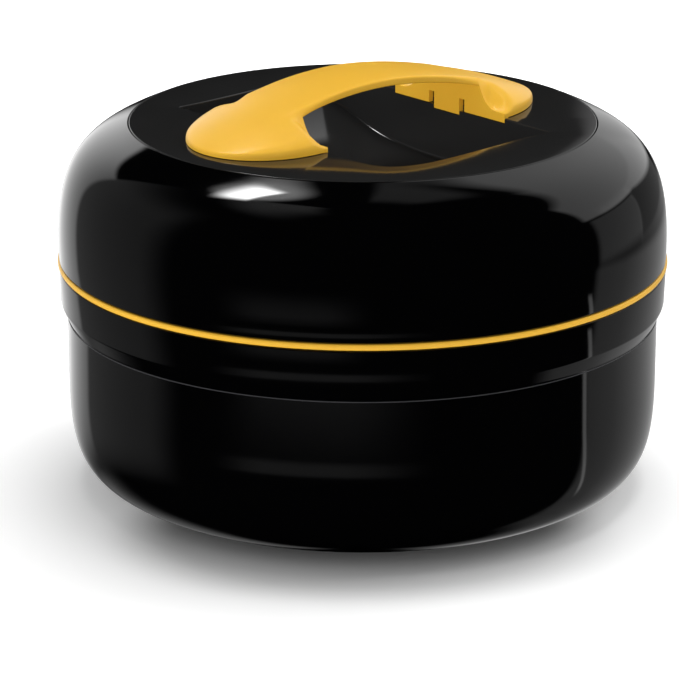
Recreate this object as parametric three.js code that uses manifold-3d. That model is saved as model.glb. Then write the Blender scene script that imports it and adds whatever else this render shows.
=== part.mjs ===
// An insulated lunch box: a foam-filled bowl, a domed lid with a bridge handle, and three lidded dishes.
// Sizes are millimetres. The box stands on z = 0 with its round axis on Z, and the handle runs along X.
import * as THREE from 'three';
import { mergeVertices } from 'three/addons/utils/BufferGeometryUtils.js';
import Module from 'manifold-3d';

const wasm = await Module();
wasm.setup();

// Outside of the bowl
const BODY_RADIUS = 123.5;
const BOWL_HEIGHT = 93.1;
const BAND_HEIGHT = 14.6;
const BAND_DRAFT = 0.5;
const STEP_HEIGHT = 6;
const STEP_DEPTH = 2.7;
const BASE_TURN_HEIGHT = 48;
const BASE_CORNER_RISE = 8.4;
const BASE_CORNER_INSET = 4.1;
const BASE_FLAT_RADIUS = 62;

// Outside of the lid
const DOME_HEIGHT = 55.2;
const DOME_SIDE_HEIGHT = 6.8;
const DOME_SHOULDER_DROP = 12.3;
const DOME_SHOULDER_INSET = 12.4;
const DOME_EDGE_DROP = 7.2;
const DISC_RADIUS = 94.6;

// Trim ring and lid seal between bowl and lid
const RING_HEIGHT = 2.5;
const RING_PROUD = 0.5;
const SEAL_WIDTH = 2.9;
const SEAL_STEP_DEPTH = 3;
const SEAL_GROOVE_DEPTH = 1.2;

// Walls, foam and the clearances between pieces that touch, run on each other or are lifted out
const SHELL_WALL = 2.5;
const LINER_WALL = 2.2;
const RIM_FOAM = 5.7;
const FLOOR_FOAM = 7;
const CEILING_FOAM = 5;
const SEAT_GAP = 0.3;
const RUN_GAP = 0.8;
const DISH_GAP = 2.5;
const BORE_GAP = 3;
const HEADROOM = 6;
const JOIN_OVERLAP = 0.9;
const CUT_OVERRUN = 5;

// Rims of the two liners, inside the shells
const LIP_HEIGHT = 6;
const LIP_WALL = 2.2;
const BEAD_HEIGHT = 3;
const BEAD_DEPTH = 1.6;
const SHOULDER_RISE = 2;
const FLOOR_CORNER_RADIUS = 25;
const CEILING_CORNER_RADIUS = 10;

// Twist lock: lugs on the lid's skirt turn in under lugs in the bowl's neck
const SKIRT_DEPTH = 13;
const LUG_COUNT = 4;
const LUG_REACH = 3.2;
const LUG_THICKNESS = 3;
const LUG_PLAY = 0.5;
const LUG_DEGREES = 30;
const LOCK_DEGREES = 45;
const STOP_DEGREES = 3;
const STOP_PLAY_DEGREES = 1;
const SHOULDER_CLEARANCE = 2;

// Plug of the foam port in the base
const PORT_RADIUS = 9;
const PLUG_HEAD_RADIUS = 12;
const PLUG_HEAD_DEPTH = 1.5;

// Top plate and its finger recess
const PLATE_WALL = 2.5;
const RECESS_WALL = 2;
const RECESS_HALF_LENGTH = 43.8;
const RECESS_HALF_WIDTH = 63.5;
const RECESS_DEPTH = 24.5;
const RECESS_BOW = 15;
const RECESS_TURN_START = 10;
const RECESS_TURN_END = 17;
const SCOOP_HALF_WIDTH = 67.5;
const SCOOP_POWER = 2.3;
const SEAT_BACKING = 2;
const PLATE_LEDGE = 7;

// Handle: a bridge whose grip sweeps sideways between two flared feet
const HANDLE_RISE = 20.5;
const HANDLE_REACH = 83.5;
const CREST_POWER = 1.8;
const GRIP_HALF_WIDTH = 16.3;
const GRIP_ROOT_HALF_WIDTH = 17;
const GRIP_EDGE = 3;
const GRIP_CROWN = 0.8;
const FOOT_HALF_WIDTH = 33.5;
const FOOT_SHIFT = 3.5;
const TIP_SHIFT = 2;
const FOOT_STRAIGHT = 1;
const FOOT_LIP = 1.6;
const FOOT_WALL = 2.2;
const FOOT_OUTLINE_POWER = 2;
const FLARE_POWER = 4;
const FLARE_FADE = 8;
const TIP_CROWN_POWER = 0.5;
const INNER_WALL_DROP = 1.8;
const TONGUE_WIDTH = 15.2;
const TONGUE_SHIFT = 2;
const TONGUE_DROP = 3.6;
const NOTCH_WIDTH = 3.2;
const NOTCH_HEIGHT = 3;
const HOOK_INSET = 17;
const HOOK_WIDTH = 14;
const HOOK_WALL = 2.2;
const HOOK_BARB = 1.3;
const HOOK_BARB_HEIGHT = 1.5;

// Dishes and their lids
const ROUND_DISH_HEIGHT = 46;
const ROUND_DISH_CORNER = 27;
const HALF_DISH_CORNER = 12;
const HALF_DISH_PLAN_CORNER = 16;
const HALF_DISH_SPLIT = 2;
const DISH_WALL = 1.8;
const DISH_LID_WALL = 1.6;
const DISH_LID_SKIRT = 5;
const DISH_LID_RIDGE = 4;
const DISH_SEAL_HEIGHT = 1.6;

// Facets
const ROUND_SEGMENTS = 40;
const PLUG_SEGMENTS = 24;
const CURVE_STEPS = 6;
const CORNER_STEPS = 3;
const WELD_TOLERANCE = 1e-4;

// Radii and levels that follow from the values above
const wallRadius = BODY_RADIUS - BAND_DRAFT - STEP_DEPTH;
const neckRadius = BODY_RADIUS - SHELL_WALL - RIM_FOAM - 2 * SEAT_GAP - LINER_WALL;
const lugRadius = neckRadius - RUN_GAP;
const skirtRadius = lugRadius - LUG_REACH;
const skirtBore = skirtRadius - LINER_WALL;
const dishRadius = skirtBore - DISH_GAP;
const linerBore = dishRadius + BORE_GAP;
const sealOuterRadius = neckRadius + 2 * SEAT_GAP + SEAL_WIDTH;
const lipOuterRadius = BODY_RADIUS - SHELL_WALL - SEAT_GAP;
const lipInnerRadius = lipOuterRadius - LIP_WALL;
const floorLevel = SHELL_WALL + FLOOR_FOAM + 2 * SEAT_GAP + LINER_WALL;
const lidLevel = BOWL_HEIGHT + RING_HEIGHT + 2 * SEAT_GAP;
const discLevel = DOME_HEIGHT;
const recessFloor = discLevel - RECESS_DEPTH;
const ceilingTop = recessFloor - RECESS_WALL - CEILING_FOAM - 2 * SEAT_GAP;
const ceilingLevel = ceilingTop - LINER_WALL;
const skirtBottom = BOWL_HEIGHT - SKIRT_DEPTH;
const bowlLugBottom = skirtBottom + LUG_THICKNESS + LUG_PLAY;
const shoulderLevel = skirtBottom - SHOULDER_CLEARANCE;
const lugPitch = 360 / LUG_COUNT;

const material = {
  blackGloss: new THREE.MeshStandardMaterial({ color: 0x0b0b0c, roughness: 0.12, metalness: 0 }),
  blackSatin: new THREE.MeshStandardMaterial({ color: 0x121214, roughness: 0.3, metalness: 0 }),
  yellow: new THREE.MeshStandardMaterial({ color: 0xe9b23c, roughness: 0.42, metalness: 0 }),
  liner: new THREE.MeshStandardMaterial({ color: 0x2a2a2c, roughness: 0.38, metalness: 0 }),
  foam: new THREE.MeshStandardMaterial({ color: 0xf0ecdf, roughness: 0.9, metalness: 0 }),
  seal: new THREE.MeshStandardMaterial({ color: 0xc9c7c2, roughness: 0.6, metalness: 0 }),
  dish: new THREE.MeshStandardMaterial({ color: 0xe9e7e0, roughness: 0.35, metalness: 0 }),
  dishLid: new THREE.MeshStandardMaterial({ color: 0xf2c65a, roughness: 0.4, metalness: 0 }),
};

const radians = THREE.MathUtils.degToRad;
const at = (radius, height) => new THREE.Vector2(radius, height);

/** Welds a geometry's vertices, turns its faces outward and returns it as a solid. */
function toSolid(geometry) {
  geometry.deleteAttribute('normal');
  geometry.deleteAttribute('uv');
  const welded = mergeVertices(geometry, WELD_TOLERANCE);
  const place = welded.attributes.position;
  const corners = Array.from(welded.index.array);
  const a = new THREE.Vector3();
  const b = new THREE.Vector3();
  const c = new THREE.Vector3();
  let faces = [];
  let volume = 0;
  for (let i = 0; i < corners.length; i += 3) {
    const [p, q, r] = corners.slice(i, i + 3);
    if (p === q || q === r || r === p) continue;
    faces.push([p, q, r]);
    b.fromBufferAttribute(place, q).cross(c.fromBufferAttribute(place, r));
    volume += a.fromBufferAttribute(place, p).dot(b);
  }
  if (volume < 0) faces = faces.map(([p, q, r]) => [p, r, q]);
  return new wasm.Manifold(new wasm.Mesh({
    numProp: 3,
    vertProperties: Float32Array.from(place.array),
    triVerts: Uint32Array.from(faces.flat()),
  }));
}

/** A named mesh with the faces of a solid. */
function meshOf(name, solid, finish) {
  const { vertProperties, triVerts } = solid.getMesh();
  const geometry = new THREE.BufferGeometry();
  geometry.setAttribute('position', new THREE.BufferAttribute(Float32Array.from(vertProperties), 3));
  geometry.setIndex(new THREE.BufferAttribute(Uint32Array.from(triVerts), 1));
  geometry.computeVertexNormals();
  const mesh = new THREE.Mesh(geometry, finish);
  mesh.name = name;
  return mesh;
}

/** A solid of revolution round Z. The outline runs axis to axis, or closes on itself. */
function revolve(outline, segments = ROUND_SEGMENTS) {
  const onAxis = outline[0].x === 0;
  const profile = onAxis ? outline : [...outline, outline[0]];
  return toSolid(new THREE.LatheGeometry(profile, segments).rotateX(Math.PI / 2));
}

/** A flat outline carried up from one level to another. */
function prism(shape, bottom, top) {
  const geometry = new THREE.ExtrudeGeometry(shape, {
    depth: top - bottom, bevelEnabled: false, curveSegments: CURVE_STEPS,
  });
  return toSolid(geometry.translate(0, 0, bottom));
}

/** A box between two corners. */
function block([x0, y0, z0], [x1, y1, z1]) {
  const box = new THREE.BoxGeometry(x1 - x0, y1 - y0, z1 - z0);
  return toSolid(box.translate((x0 + x1) / 2, (y0 + y1) / 2, (z0 + z1) / 2));
}

/** A solid through rings with equal point counts, either capped at both ends or closed on itself. */
function loft(rings, isLoop = false) {
  const count = rings[0].length;
  const points = rings.flat();
  const index = [];
  const spans = isLoop ? rings.length : rings.length - 1;
  for (let i = 0; i < spans; i += 1) {
    const here = i * count;
    const next = ((i + 1) % rings.length) * count;
    for (let j = 0; j < count; j += 1) {
      const k = (j + 1) % count;
      index.push(here + j, here + k, next + k, here + j, next + k, next + j);
    }
  }
  if (!isLoop) {
    for (const [start, isLast] of [[0, false], [(rings.length - 1) * count, true]]) {
      const sum = rings[start / count].reduce((total, point) => total.add(point), new THREE.Vector3());
      const middle = sum.divideScalar(count);
      const hub = points.push(middle) - 1;
      for (let j = 0; j < count; j += 1) {
        const k = (j + 1) % count;
        index.push(...(isLast ? [start + j, start + k, hub] : [start + k, start + j, hub]));
      }
    }
  }
  const geometry = new THREE.BufferGeometry().setFromPoints(points);
  geometry.setIndex(index);
  return toSolid(geometry);
}

/** Points of an arc in the (radius, height) plane, between two angles in degrees. */
function arc(centre, radius, from, to, steps = CORNER_STEPS) {
  return Array.from({ length: steps + 1 }, (_, i) => {
    const angle = radians(from + (to - from) * i / steps);
    return at(centre.x + radius * Math.cos(angle), centre.y + radius * Math.sin(angle));
  });
}

/** Points of a curve moved to its left by an inset. */
function insetCurve(curve, inset, steps = CURVE_STEPS) {
  return Array.from({ length: steps + 1 }, (_, i) => {
    const point = curve.getPoint(i / steps);
    const along = curve.getTangent(i / steps);
    return at(point.x - along.y * inset, point.y + along.x * inset);
  });
}

/** A ring sector between two radii, angles in degrees and levels. */
function sector(innerRadius, outerRadius, from, to, bottom, top) {
  const shape = new THREE.Shape();
  shape.absarc(0, 0, outerRadius, radians(from), radians(to), false);
  shape.absarc(0, 0, innerRadius, radians(to), radians(from), true);
  return prism(shape, bottom, top);
}

// The bowl's base turn runs from the flat up to the wall, and the dome from its side up to the disc's edge.
const baseTurn = new THREE.CubicBezierCurve(
  at(BASE_FLAT_RADIUS, 0),
  at(wallRadius - BASE_CORNER_INSET, 0),
  at(wallRadius, BASE_CORNER_RISE),
  at(wallRadius, BASE_TURN_HEIGHT),
);
const domeTurn = new THREE.CubicBezierCurve(
  at(BODY_RADIUS, DOME_SIDE_HEIGHT),
  at(BODY_RADIUS, discLevel - DOME_SHOULDER_DROP),
  at(BODY_RADIUS - DOME_SHOULDER_INSET, discLevel - DOME_EDGE_DROP),
  at(DISC_RADIUS, discLevel),
);
const bandFoot = BOWL_HEIGHT - BAND_HEIGHT;
const wallTop = bandFoot - STEP_HEIGHT;

/** The bowl's outside line from the base flat up to a level in the band, moved inward by an inset. */
function bowlOutline(inset, top) {
  return [
    ...insetCurve(baseTurn, inset),
    at(wallRadius - inset, wallTop),
    at(BODY_RADIUS - BAND_DRAFT - inset, bandFoot),
    at(BODY_RADIUS - inset, top),
  ];
}

/** Outer shell of the bowl: band, step, wall, base and the stepped foam port. */
function bowlOuterShell() {
  const beadTop = BOWL_HEIGHT - LIP_HEIGHT - SEAT_GAP;
  const bore = BODY_RADIUS - SHELL_WALL;
  const bead = [
    at(bore, BOWL_HEIGHT),
    at(bore, beadTop),
    at(bore - BEAD_DEPTH, beadTop),
    at(bore - BEAD_DEPTH / 2, beadTop - BEAD_HEIGHT),
  ];
  const inside = bowlOutline(SHELL_WALL, beadTop - BEAD_HEIGHT).reverse();
  return revolve([
    at(PLUG_HEAD_RADIUS, 0),
    ...bowlOutline(0, BOWL_HEIGHT),
    ...bead,
    ...inside,
    at(PORT_RADIUS, SHELL_WALL),
    at(PORT_RADIUS, PLUG_HEAD_DEPTH),
    at(PLUG_HEAD_RADIUS, PLUG_HEAD_DEPTH),
  ]);
}

/** Plug that closes the foam port, flush with the base. */
function bowlBasePlug() {
  const head = PLUG_HEAD_RADIUS - SEAT_GAP;
  const stem = PORT_RADIUS - SEAT_GAP;
  const headTop = PLUG_HEAD_DEPTH - SEAT_GAP;
  const outline = [
    at(0, SEAT_GAP),
    at(head, SEAT_GAP),
    at(head, headTop),
    at(stem, headTop),
    at(stem, SHELL_WALL),
    at(0, SHELL_WALL),
  ];
  return revolve(outline, PLUG_SEGMENTS);
}

/** Line of the bowl liner below its neck, from the axis out, grown outward by a thickness. */
function linerOutline(growth) {
  const centre = at(linerBore - FLOOR_CORNER_RADIUS, floorLevel + FLOOR_CORNER_RADIUS);
  return [
    at(0, floorLevel - growth),
    ...arc(centre, FLOOR_CORNER_RADIUS + growth, -90, 0),
    at(linerBore + growth, shoulderLevel - SHOULDER_RISE - growth),
    at(neckRadius + growth, shoulderLevel - growth),
  ];
}

/** Foam of the bowl, between the outer shell and the liner. */
function bowlInsulation() {
  const skin = SHELL_WALL + SEAT_GAP;
  const top = BOWL_HEIGHT - LIP_HEIGHT - BEAD_HEIGHT - 2 * SEAT_GAP - RUN_GAP;
  return revolve([
    at(0, skin),
    ...bowlOutline(skin, top),
    at(neckRadius + LINER_WALL + SEAT_GAP, top),
    ...linerOutline(LINER_WALL + SEAT_GAP).reverse(),
  ]);
}

/** Liner of the bowl: tub, neck with lock lugs, seal step and the rim that plugs into the shell. */
function bowlInnerLiner() {
  const stepLevel = BOWL_HEIGHT - SEAL_STEP_DEPTH;
  const tub = revolve([
    ...linerOutline(LINER_WALL),
    at(neckRadius + LINER_WALL, stepLevel - LINER_WALL),
    at(lipInnerRadius, stepLevel - LINER_WALL),
    at(lipInnerRadius, BOWL_HEIGHT - LIP_HEIGHT),
    at(lipOuterRadius, BOWL_HEIGHT - LIP_HEIGHT),
    at(lipOuterRadius, BOWL_HEIGHT),
    at(sealOuterRadius, BOWL_HEIGHT),
    at(sealOuterRadius, stepLevel),
    at(neckRadius, stepLevel),
    ...linerOutline(0).reverse(),
  ]);
  const outer = neckRadius + JOIN_OVERLAP;
  const inner = skirtRadius + RUN_GAP;
  const half = LUG_DEGREES / 2;
  return Array.from({ length: LUG_COUNT }, (_, i) => i * lugPitch).reduce((solid, middle) => {
    const stopEnd = middle - half - STOP_PLAY_DEGREES;
    const lug = sector(inner, outer, stopEnd, middle + half, bowlLugBottom, bowlLugBottom + LUG_THICKNESS);
    const stopStart = stopEnd - STOP_DEGREES;
    const stopFoot = shoulderLevel - JOIN_OVERLAP;
    const stop = sector(inner, outer, stopStart, stopEnd, stopFoot, bowlLugBottom + LUG_THICKNESS);
    return solid.add(lug).add(stop);
  }, tub);
}

/** Coloured ring that the lid turns on, grooved below for the seal. */
function trimRing() {
  const bottom = BOWL_HEIGHT + SEAT_GAP;
  const top = bottom + RING_HEIGHT;
  return revolve([
    at(skirtRadius + RUN_GAP, bottom),
    at(neckRadius, bottom),
    at(neckRadius, bottom + SEAL_GROOVE_DEPTH),
    at(sealOuterRadius, bottom + SEAL_GROOVE_DEPTH),
    at(sealOuterRadius, bottom),
    at(BODY_RADIUS, bottom),
    at(BODY_RADIUS + RING_PROUD, bottom + RING_PROUD),
    at(BODY_RADIUS + RING_PROUD, top - RING_PROUD),
    at(BODY_RADIUS, top),
    at(skirtRadius + RUN_GAP, top),
  ]);
}

/** Seal under the trim ring, standing on the step of the bowl's rim. */
function lidSeal() {
  const bottom = BOWL_HEIGHT - SEAL_STEP_DEPTH + SEAT_GAP;
  const top = BOWL_HEIGHT + SEAL_GROOVE_DEPTH;
  const inner = neckRadius + SEAT_GAP;
  return revolve([
    at(inner, bottom), at(inner + SEAL_WIDTH, bottom), at(inner + SEAL_WIDTH, top), at(inner, top),
  ]);
}

/** Domed outer shell of the lid, with the ledge that carries the top plate. */
function lidOuterShell() {
  const ledgeTop = discLevel - PLATE_WALL - SEAT_GAP;
  const ledgeBottom = ledgeTop - SHELL_WALL;
  const inside = insetCurve(domeTurn, SHELL_WALL).filter((point) => point.y < ledgeBottom).reverse();
  return revolve([
    at(BODY_RADIUS, 0),
    ...insetCurve(domeTurn, 0),
    at(DISC_RADIUS, ledgeTop),
    at(DISC_RADIUS - PLATE_LEDGE, ledgeTop),
    at(DISC_RADIUS - PLATE_LEDGE, ledgeBottom),
    at(inside[0].x, ledgeBottom),
    ...inside,
    at(BODY_RADIUS - SHELL_WALL, 0),
  ]);
}

/** Line of the lid liner above its flange, from the wall in to the axis, grown outward by a thickness. */
function ceilingOutline(growth) {
  const centre = at(skirtBore - CEILING_CORNER_RADIUS, ceilingLevel - CEILING_CORNER_RADIUS);
  return [
    ...arc(centre, CEILING_CORNER_RADIUS + growth, 0, 90),
    at(0, ceilingLevel + growth),
  ];
}

/** Liner of the lid: ceiling, flange that plugs into the shell, and the skirt with its lock lugs. */
function lidInnerLiner() {
  const skirtFoot = skirtBottom - lidLevel;
  const cap = revolve([
    ...ceilingOutline(0).reverse(),
    at(skirtBore, skirtFoot),
    at(skirtRadius, skirtFoot),
    at(skirtRadius, 0),
    at(lipOuterRadius, 0),
    at(lipOuterRadius, LIP_HEIGHT),
    at(lipInnerRadius, LIP_HEIGHT),
    at(lipInnerRadius, LINER_WALL),
    at(skirtRadius, LINER_WALL),
    ...ceilingOutline(LINER_WALL),
  ]);
  const inner = skirtRadius - JOIN_OVERLAP;
  const half = LUG_DEGREES / 2;
  return Array.from({ length: LUG_COUNT }, (_, i) => i * lugPitch + LOCK_DEGREES).reduce(
    (solid, middle) => solid.add(
      sector(inner, lugRadius, middle - half, middle + half, skirtFoot, skirtFoot + LUG_THICKNESS),
    ),
    cap,
  );
}

/** Space of the finger recess: a scoop across Y between upright ends, grown by a thickness. */
function recessSpace(growth) {
  const top = discLevel + CUT_OVERRUN;
  const halfWidth = SCOOP_HALF_WIDTH + growth;
  const halfLength = RECESS_HALF_LENGTH + growth;
  const power = 2 / SCOOP_POWER;
  const floor = Array.from({ length: 2 * CURVE_STEPS + 1 }, (_, i) => {
    const angle = Math.PI * i / (2 * CURVE_STEPS);
    const across = Math.cos(angle);
    const side = Math.sign(across) * Math.abs(across) ** power;
    return at(-halfWidth * side, discLevel - (RECESS_DEPTH + growth) * Math.sin(angle) ** power);
  });
  const scoop = new THREE.Shape([at(halfWidth, top), at(-halfWidth, top), ...floor]);
  const trough = new THREE.ExtrudeGeometry(scoop, { depth: 2 * halfLength, bevelEnabled: false });
  trough.translate(0, 0, -halfLength).rotateX(Math.PI / 2).rotateZ(Math.PI / 2);
  const plan = prism(recessPlan(growth), recessFloor - growth - CUT_OVERRUN, top + CUT_OVERRUN);
  return toSolid(trough).intersect(plan);
}

/** The recess seen from above: two sharp corners, and two that the long rims turn into with a slight bow. */
function recessPlan(growth) {
  const length = RECESS_HALF_LENGTH + growth;
  const width = RECESS_HALF_WIDTH + growth;
  const shape = new THREE.Shape();
  shape.moveTo(length, -width);
  shape.bezierCurveTo(-RECESS_TURN_START, -width, -length, -width - RECESS_BOW, -length, RECESS_TURN_END - width);
  shape.lineTo(-length, width);
  shape.bezierCurveTo(RECESS_TURN_START, width, length, width + RECESS_BOW, length, width - RECESS_TURN_END);
  return shape;
}

/** Does the same on the handle's two feet: side is 1 or -1 along X. */
const onBothSides = (solid, change) => [1, -1].reduce(change, solid);

const sorted = (a, b) => [Math.min(a, b), Math.max(a, b)];

/** A box in line with the handle, from one distance to another along X, on one side. */
function footBlock(side, near, far, halfWidth, bottom, top, shift = 0) {
  const [x0, x1] = sorted(side * near, side * far);
  return block([x0, shift - halfWidth, bottom], [x1, shift + halfWidth, top]);
}

const hookPlace = HANDLE_REACH - HOOK_INSET;
const innerWallHalfWidth = FOOT_HALF_WIDTH - SEAT_GAP;

/** Thickening of the top plate behind the seat of a foot's inner wall and tongue, grown by a gap. */
function seatBacking(side, growth) {
  const far = RECESS_HALF_LENGTH + FOOT_WALL + SEAT_GAP + SEAT_BACKING + growth;
  const bottom = discLevel - TONGUE_DROP - SEAT_GAP - SEAT_BACKING - growth;
  const halfWidth = innerWallHalfWidth + SEAT_GAP + SEAT_BACKING + growth;
  const shift = -side * FOOT_SHIFT;
  return footBlock(side, RECESS_HALF_LENGTH, far, halfWidth, bottom, discLevel - SEAT_GAP, shift);
}

/** Top plate of the lid: the flat disc, the recess tub, and the seats for the handle's tongues and hooks. */
function lidTopPlate() {
  const radius = DISC_RADIUS - SEAT_GAP;
  const underside = discLevel - PLATE_WALL;
  const disc = revolve([at(0, underside), at(radius, underside), at(radius, discLevel), at(0, discLevel)]);
  const slab = block([-BODY_RADIUS, -BODY_RADIUS, -BODY_RADIUS], [BODY_RADIUS, BODY_RADIUS, discLevel]);
  const tub = recessSpace(RECESS_WALL).intersect(slab);
  const backed = onBothSides(disc.add(tub), (solid, side) => solid.add(seatBacking(side, 0)));
  const plate = backed.subtract(recessSpace(0));
  const near = RECESS_HALF_LENGTH - CUT_OVERRUN;
  const far = RECESS_HALF_LENGTH + FOOT_WALL + SEAT_GAP;
  const above = discLevel + CUT_OVERRUN;
  const pocket = (side, halfWidth, drop, shift) => footBlock(
    side, near, far, halfWidth + SEAT_GAP, discLevel - drop - SEAT_GAP, above, -side * shift,
  );
  return onBothSides(plate, (solid, side) => solid
    .subtract(pocket(side, innerWallHalfWidth, INNER_WALL_DROP, FOOT_SHIFT))
    .subtract(pocket(side, TONGUE_WIDTH / 2, TONGUE_DROP, TONGUE_SHIFT))
    .subtract(footBlock(
      side,
      hookPlace - SEAT_GAP,
      hookPlace + HOOK_WALL + HOOK_BARB + SEAT_GAP,
      HOOK_WIDTH / 2 + SEAT_GAP,
      underside - CUT_OVERRUN,
      above,
    )));
}

/** Foam of the lid, round the recess tub. */
function lidInsulation() {
  const skin = SHELL_WALL + SEAT_GAP;
  const top = discLevel - PLATE_WALL - SHELL_WALL - 2 * SEAT_GAP;
  const dome = insetCurve(domeTurn, skin).filter((point) => point.y < top);
  const flange = LINER_WALL + SEAT_GAP;
  const foam = revolve([
    ...ceilingOutline(flange).reverse(),
    at(skirtRadius + SEAT_GAP, flange),
    at(lipInnerRadius - SEAT_GAP, flange),
    at(lipInnerRadius - SEAT_GAP, LIP_HEIGHT + SEAT_GAP),
    at(BODY_RADIUS - skin, LIP_HEIGHT + SEAT_GAP),
    ...dome.filter((point) => point.y > LIP_HEIGHT + SEAT_GAP),
    at(dome[dome.length - 1].x, top),
    at(0, top),
  ]);
  const pouredRound = foam.subtract(recessSpace(RECESS_WALL + SEAT_GAP));
  return onBothSides(pouredRound, (solid, side) => solid.subtract(seatBacking(side, SEAT_GAP)));
}

// Places across a section's top face and down its side, as shares
const TOP_PLACES = [-1, -0.5, 0, 0.5, 1];
const FLARE_PLACES = [0.16, 0.34, 0.54, 0.76, 1];

// The handle's frame has z = 0 on the disc.
const archRise = HANDLE_RISE - FOOT_LIP - SEAT_GAP;
const footHeight = SEAT_GAP + FOOT_LIP;

/** Height of the handle's crest over the disc, at a distance along the handle. */
function crest(x) {
  return footHeight + archRise * (1 - (Math.abs(x) / HANDLE_REACH) ** CREST_POWER);
}

/** How far the crowned top has dropped, at a distance from its crest. */
const crownDrop = (y) => GRIP_CROWN * (y / GRIP_HALF_WIDTH) ** 2;

/** Half width of the grip, slightly waisted toward the middle. */
function gripHalfWidth(x) {
  return GRIP_HALF_WIDTH + (GRIP_ROOT_HALF_WIDTH - GRIP_HALF_WIDTH) * (x / RECESS_HALF_LENGTH) ** 2;
}

/** Sideways place of a section: it swings out to the inner walls, and back over the feet. */
function sideShift(x) {
  const reach = Math.min(Math.abs(x) / RECESS_HALF_LENGTH, 1);
  const swing = FOOT_SHIFT * reach * (3 - reach ** 2) / 2;
  const run = (Math.abs(x) - RECESS_HALF_LENGTH) / (HANDLE_REACH - RECESS_HALF_LENGTH);
  return Math.sign(x) * ((FOOT_SHIFT + TIP_SHIFT) * Math.max(run, 0) - swing);
}

/** Ring of points from a section's top face and the side below it, mirrored and shifted. */
function handleRing(x, top, right, bottom) {
  const left = right.map(([y, z]) => [-y, z]).reverse();
  return [...top, ...right, ...bottom, ...left].map(([y, z]) => new THREE.Vector3(x, y + sideShift(x), z));
}

/** Ring of the grip's section at x: top face, two edge faces and the underside. */
function gripSection(x) {
  const half = gripHalfWidth(x);
  const edge = crest(x) - crownDrop(half);
  const under = edge - GRIP_EDGE;
  const right = FLARE_PLACES.map((share) => [half, edge - GRIP_EDGE * share]);
  const top = TOP_PLACES.map((share) => [half * share, crest(x) - crownDrop(half * share)]);
  return handleRing(x, top, right, [[half / 2, under], [0, under], [-half / 2, under]]);
}

/** Ring of a foot's section at x: flared near the inner wall and domed near the tip, down to the lip. */
function footSection(x, half, drop, bottom) {
  const rootShare = GRIP_ROOT_HALF_WIDTH / FOOT_HALF_WIDTH;
  const fade = THREE.MathUtils.smoothstep(Math.abs(x) - RECESS_HALF_LENGTH, 0, FLARE_FADE);
  const skin = (share) => {
    const crown = crest(x) - crownDrop(half * Math.min(share, rootShare));
    const fall = ((1 - Math.max(share, rootShare)) / (1 - rootShare)) ** FLARE_POWER;
    const flared = footHeight + (crown - footHeight) * fall;
    const domed = footHeight + (crest(x) - footHeight) * (1 - share ** 2) ** TIP_CROWN_POWER;
    return [half * share, THREE.MathUtils.lerp(flared, domed, fade) - drop];
  };
  const top = TOP_PLACES.map((share) => [half * rootShare * share, skin(rootShare * Math.abs(share))[1]]);
  const right = FLARE_PLACES.map((share) => skin(rootShare + (1 - rootShare) * share));
  return handleRing(x, top, right, [[half, bottom], [0, bottom], [-half, bottom]]);
}

/** Places and half widths along one foot, from its inner wall to its round end, drawn in by a wall. */
function footStations(wall) {
  const start = RECESS_HALF_LENGTH + wall;
  const roundStart = RECESS_HALF_LENGTH + FOOT_STRAIGHT + wall;
  const length = HANDLE_REACH - wall - roundStart;
  const halfWidth = FOOT_HALF_WIDTH - wall;
  const power = 2 / FOOT_OUTLINE_POWER;
  const turn = Array.from({ length: CURVE_STEPS }, (_, i) => {
    const angle = Math.PI / 2 * i / (CURVE_STEPS - 0.5);
    return [roundStart + length * Math.sin(angle) ** power, halfWidth * Math.cos(angle) ** power];
  });
  return [[start, halfWidth], ...turn];
}

/** Handle: the bridge, hollow feet, release notches, tongues at the recess and hooks through the plate. */
function handleBridge() {
  const foot = footStations(0).map(([x, half]) => [x, half, 0, SEAT_GAP]);
  const gripPlaces = [-1, -0.75, -0.5, -0.25, 0, 0.25, 0.5, 0.75, 1].map(
    (share) => share * RECESS_HALF_LENGTH,
  );
  const rings = [
    ...foot.map(([x, ...rest]) => footSection(-x, ...rest)).reverse(),
    ...gripPlaces.map(gripSection),
    ...foot.map((station) => footSection(...station)),
  ];
  const hollow = (side) => loft(footStations(FOOT_WALL).map(
    ([x, half]) => footSection(side * x, half, FOOT_WALL, -CUT_OVERRUN),
  ));
  const wallFar = RECESS_HALF_LENGTH + FOOT_WALL;
  const notchShift = TONGUE_WIDTH / 2 + NOTCH_WIDTH / 2;
  const hookTop = crest(hookPlace) - FOOT_WALL + JOIN_OVERLAP;
  const hookFoot = -PLATE_WALL - SEAT_GAP - HOOK_BARB_HEIGHT;
  const notch = (side, shift) => footBlock(
    side, RECESS_HALF_LENGTH - CUT_OVERRUN, wallFar + SEAT_GAP, NOTCH_WIDTH / 2,
    -CUT_OVERRUN, SEAT_GAP + NOTCH_HEIGHT, shift - side * TONGUE_SHIFT,
  );
  const wall = (side, halfWidth, drop, shift) => footBlock(
    side, RECESS_HALF_LENGTH, wallFar, halfWidth, -drop, footHeight, -side * shift,
  );
  return onBothSides(loft(rings), (solid, side) => solid
    .subtract(hollow(side))
    .add(wall(side, innerWallHalfWidth, INNER_WALL_DROP, FOOT_SHIFT))
    .subtract(notch(side, notchShift))
    .subtract(notch(side, -notchShift))
    .add(wall(side, TONGUE_WIDTH / 2, TONGUE_DROP, TONGUE_SHIFT))
    .add(footBlock(side, hookPlace, hookPlace + HOOK_WALL, HOOK_WIDTH / 2, hookFoot, hookTop))
    .add(footBlock(
      side, hookPlace, hookPlace + HOOK_WALL + HOOK_BARB, HOOK_WIDTH / 2,
      hookFoot, hookFoot + HOOK_BARB_HEIGHT,
    )));
}

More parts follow.
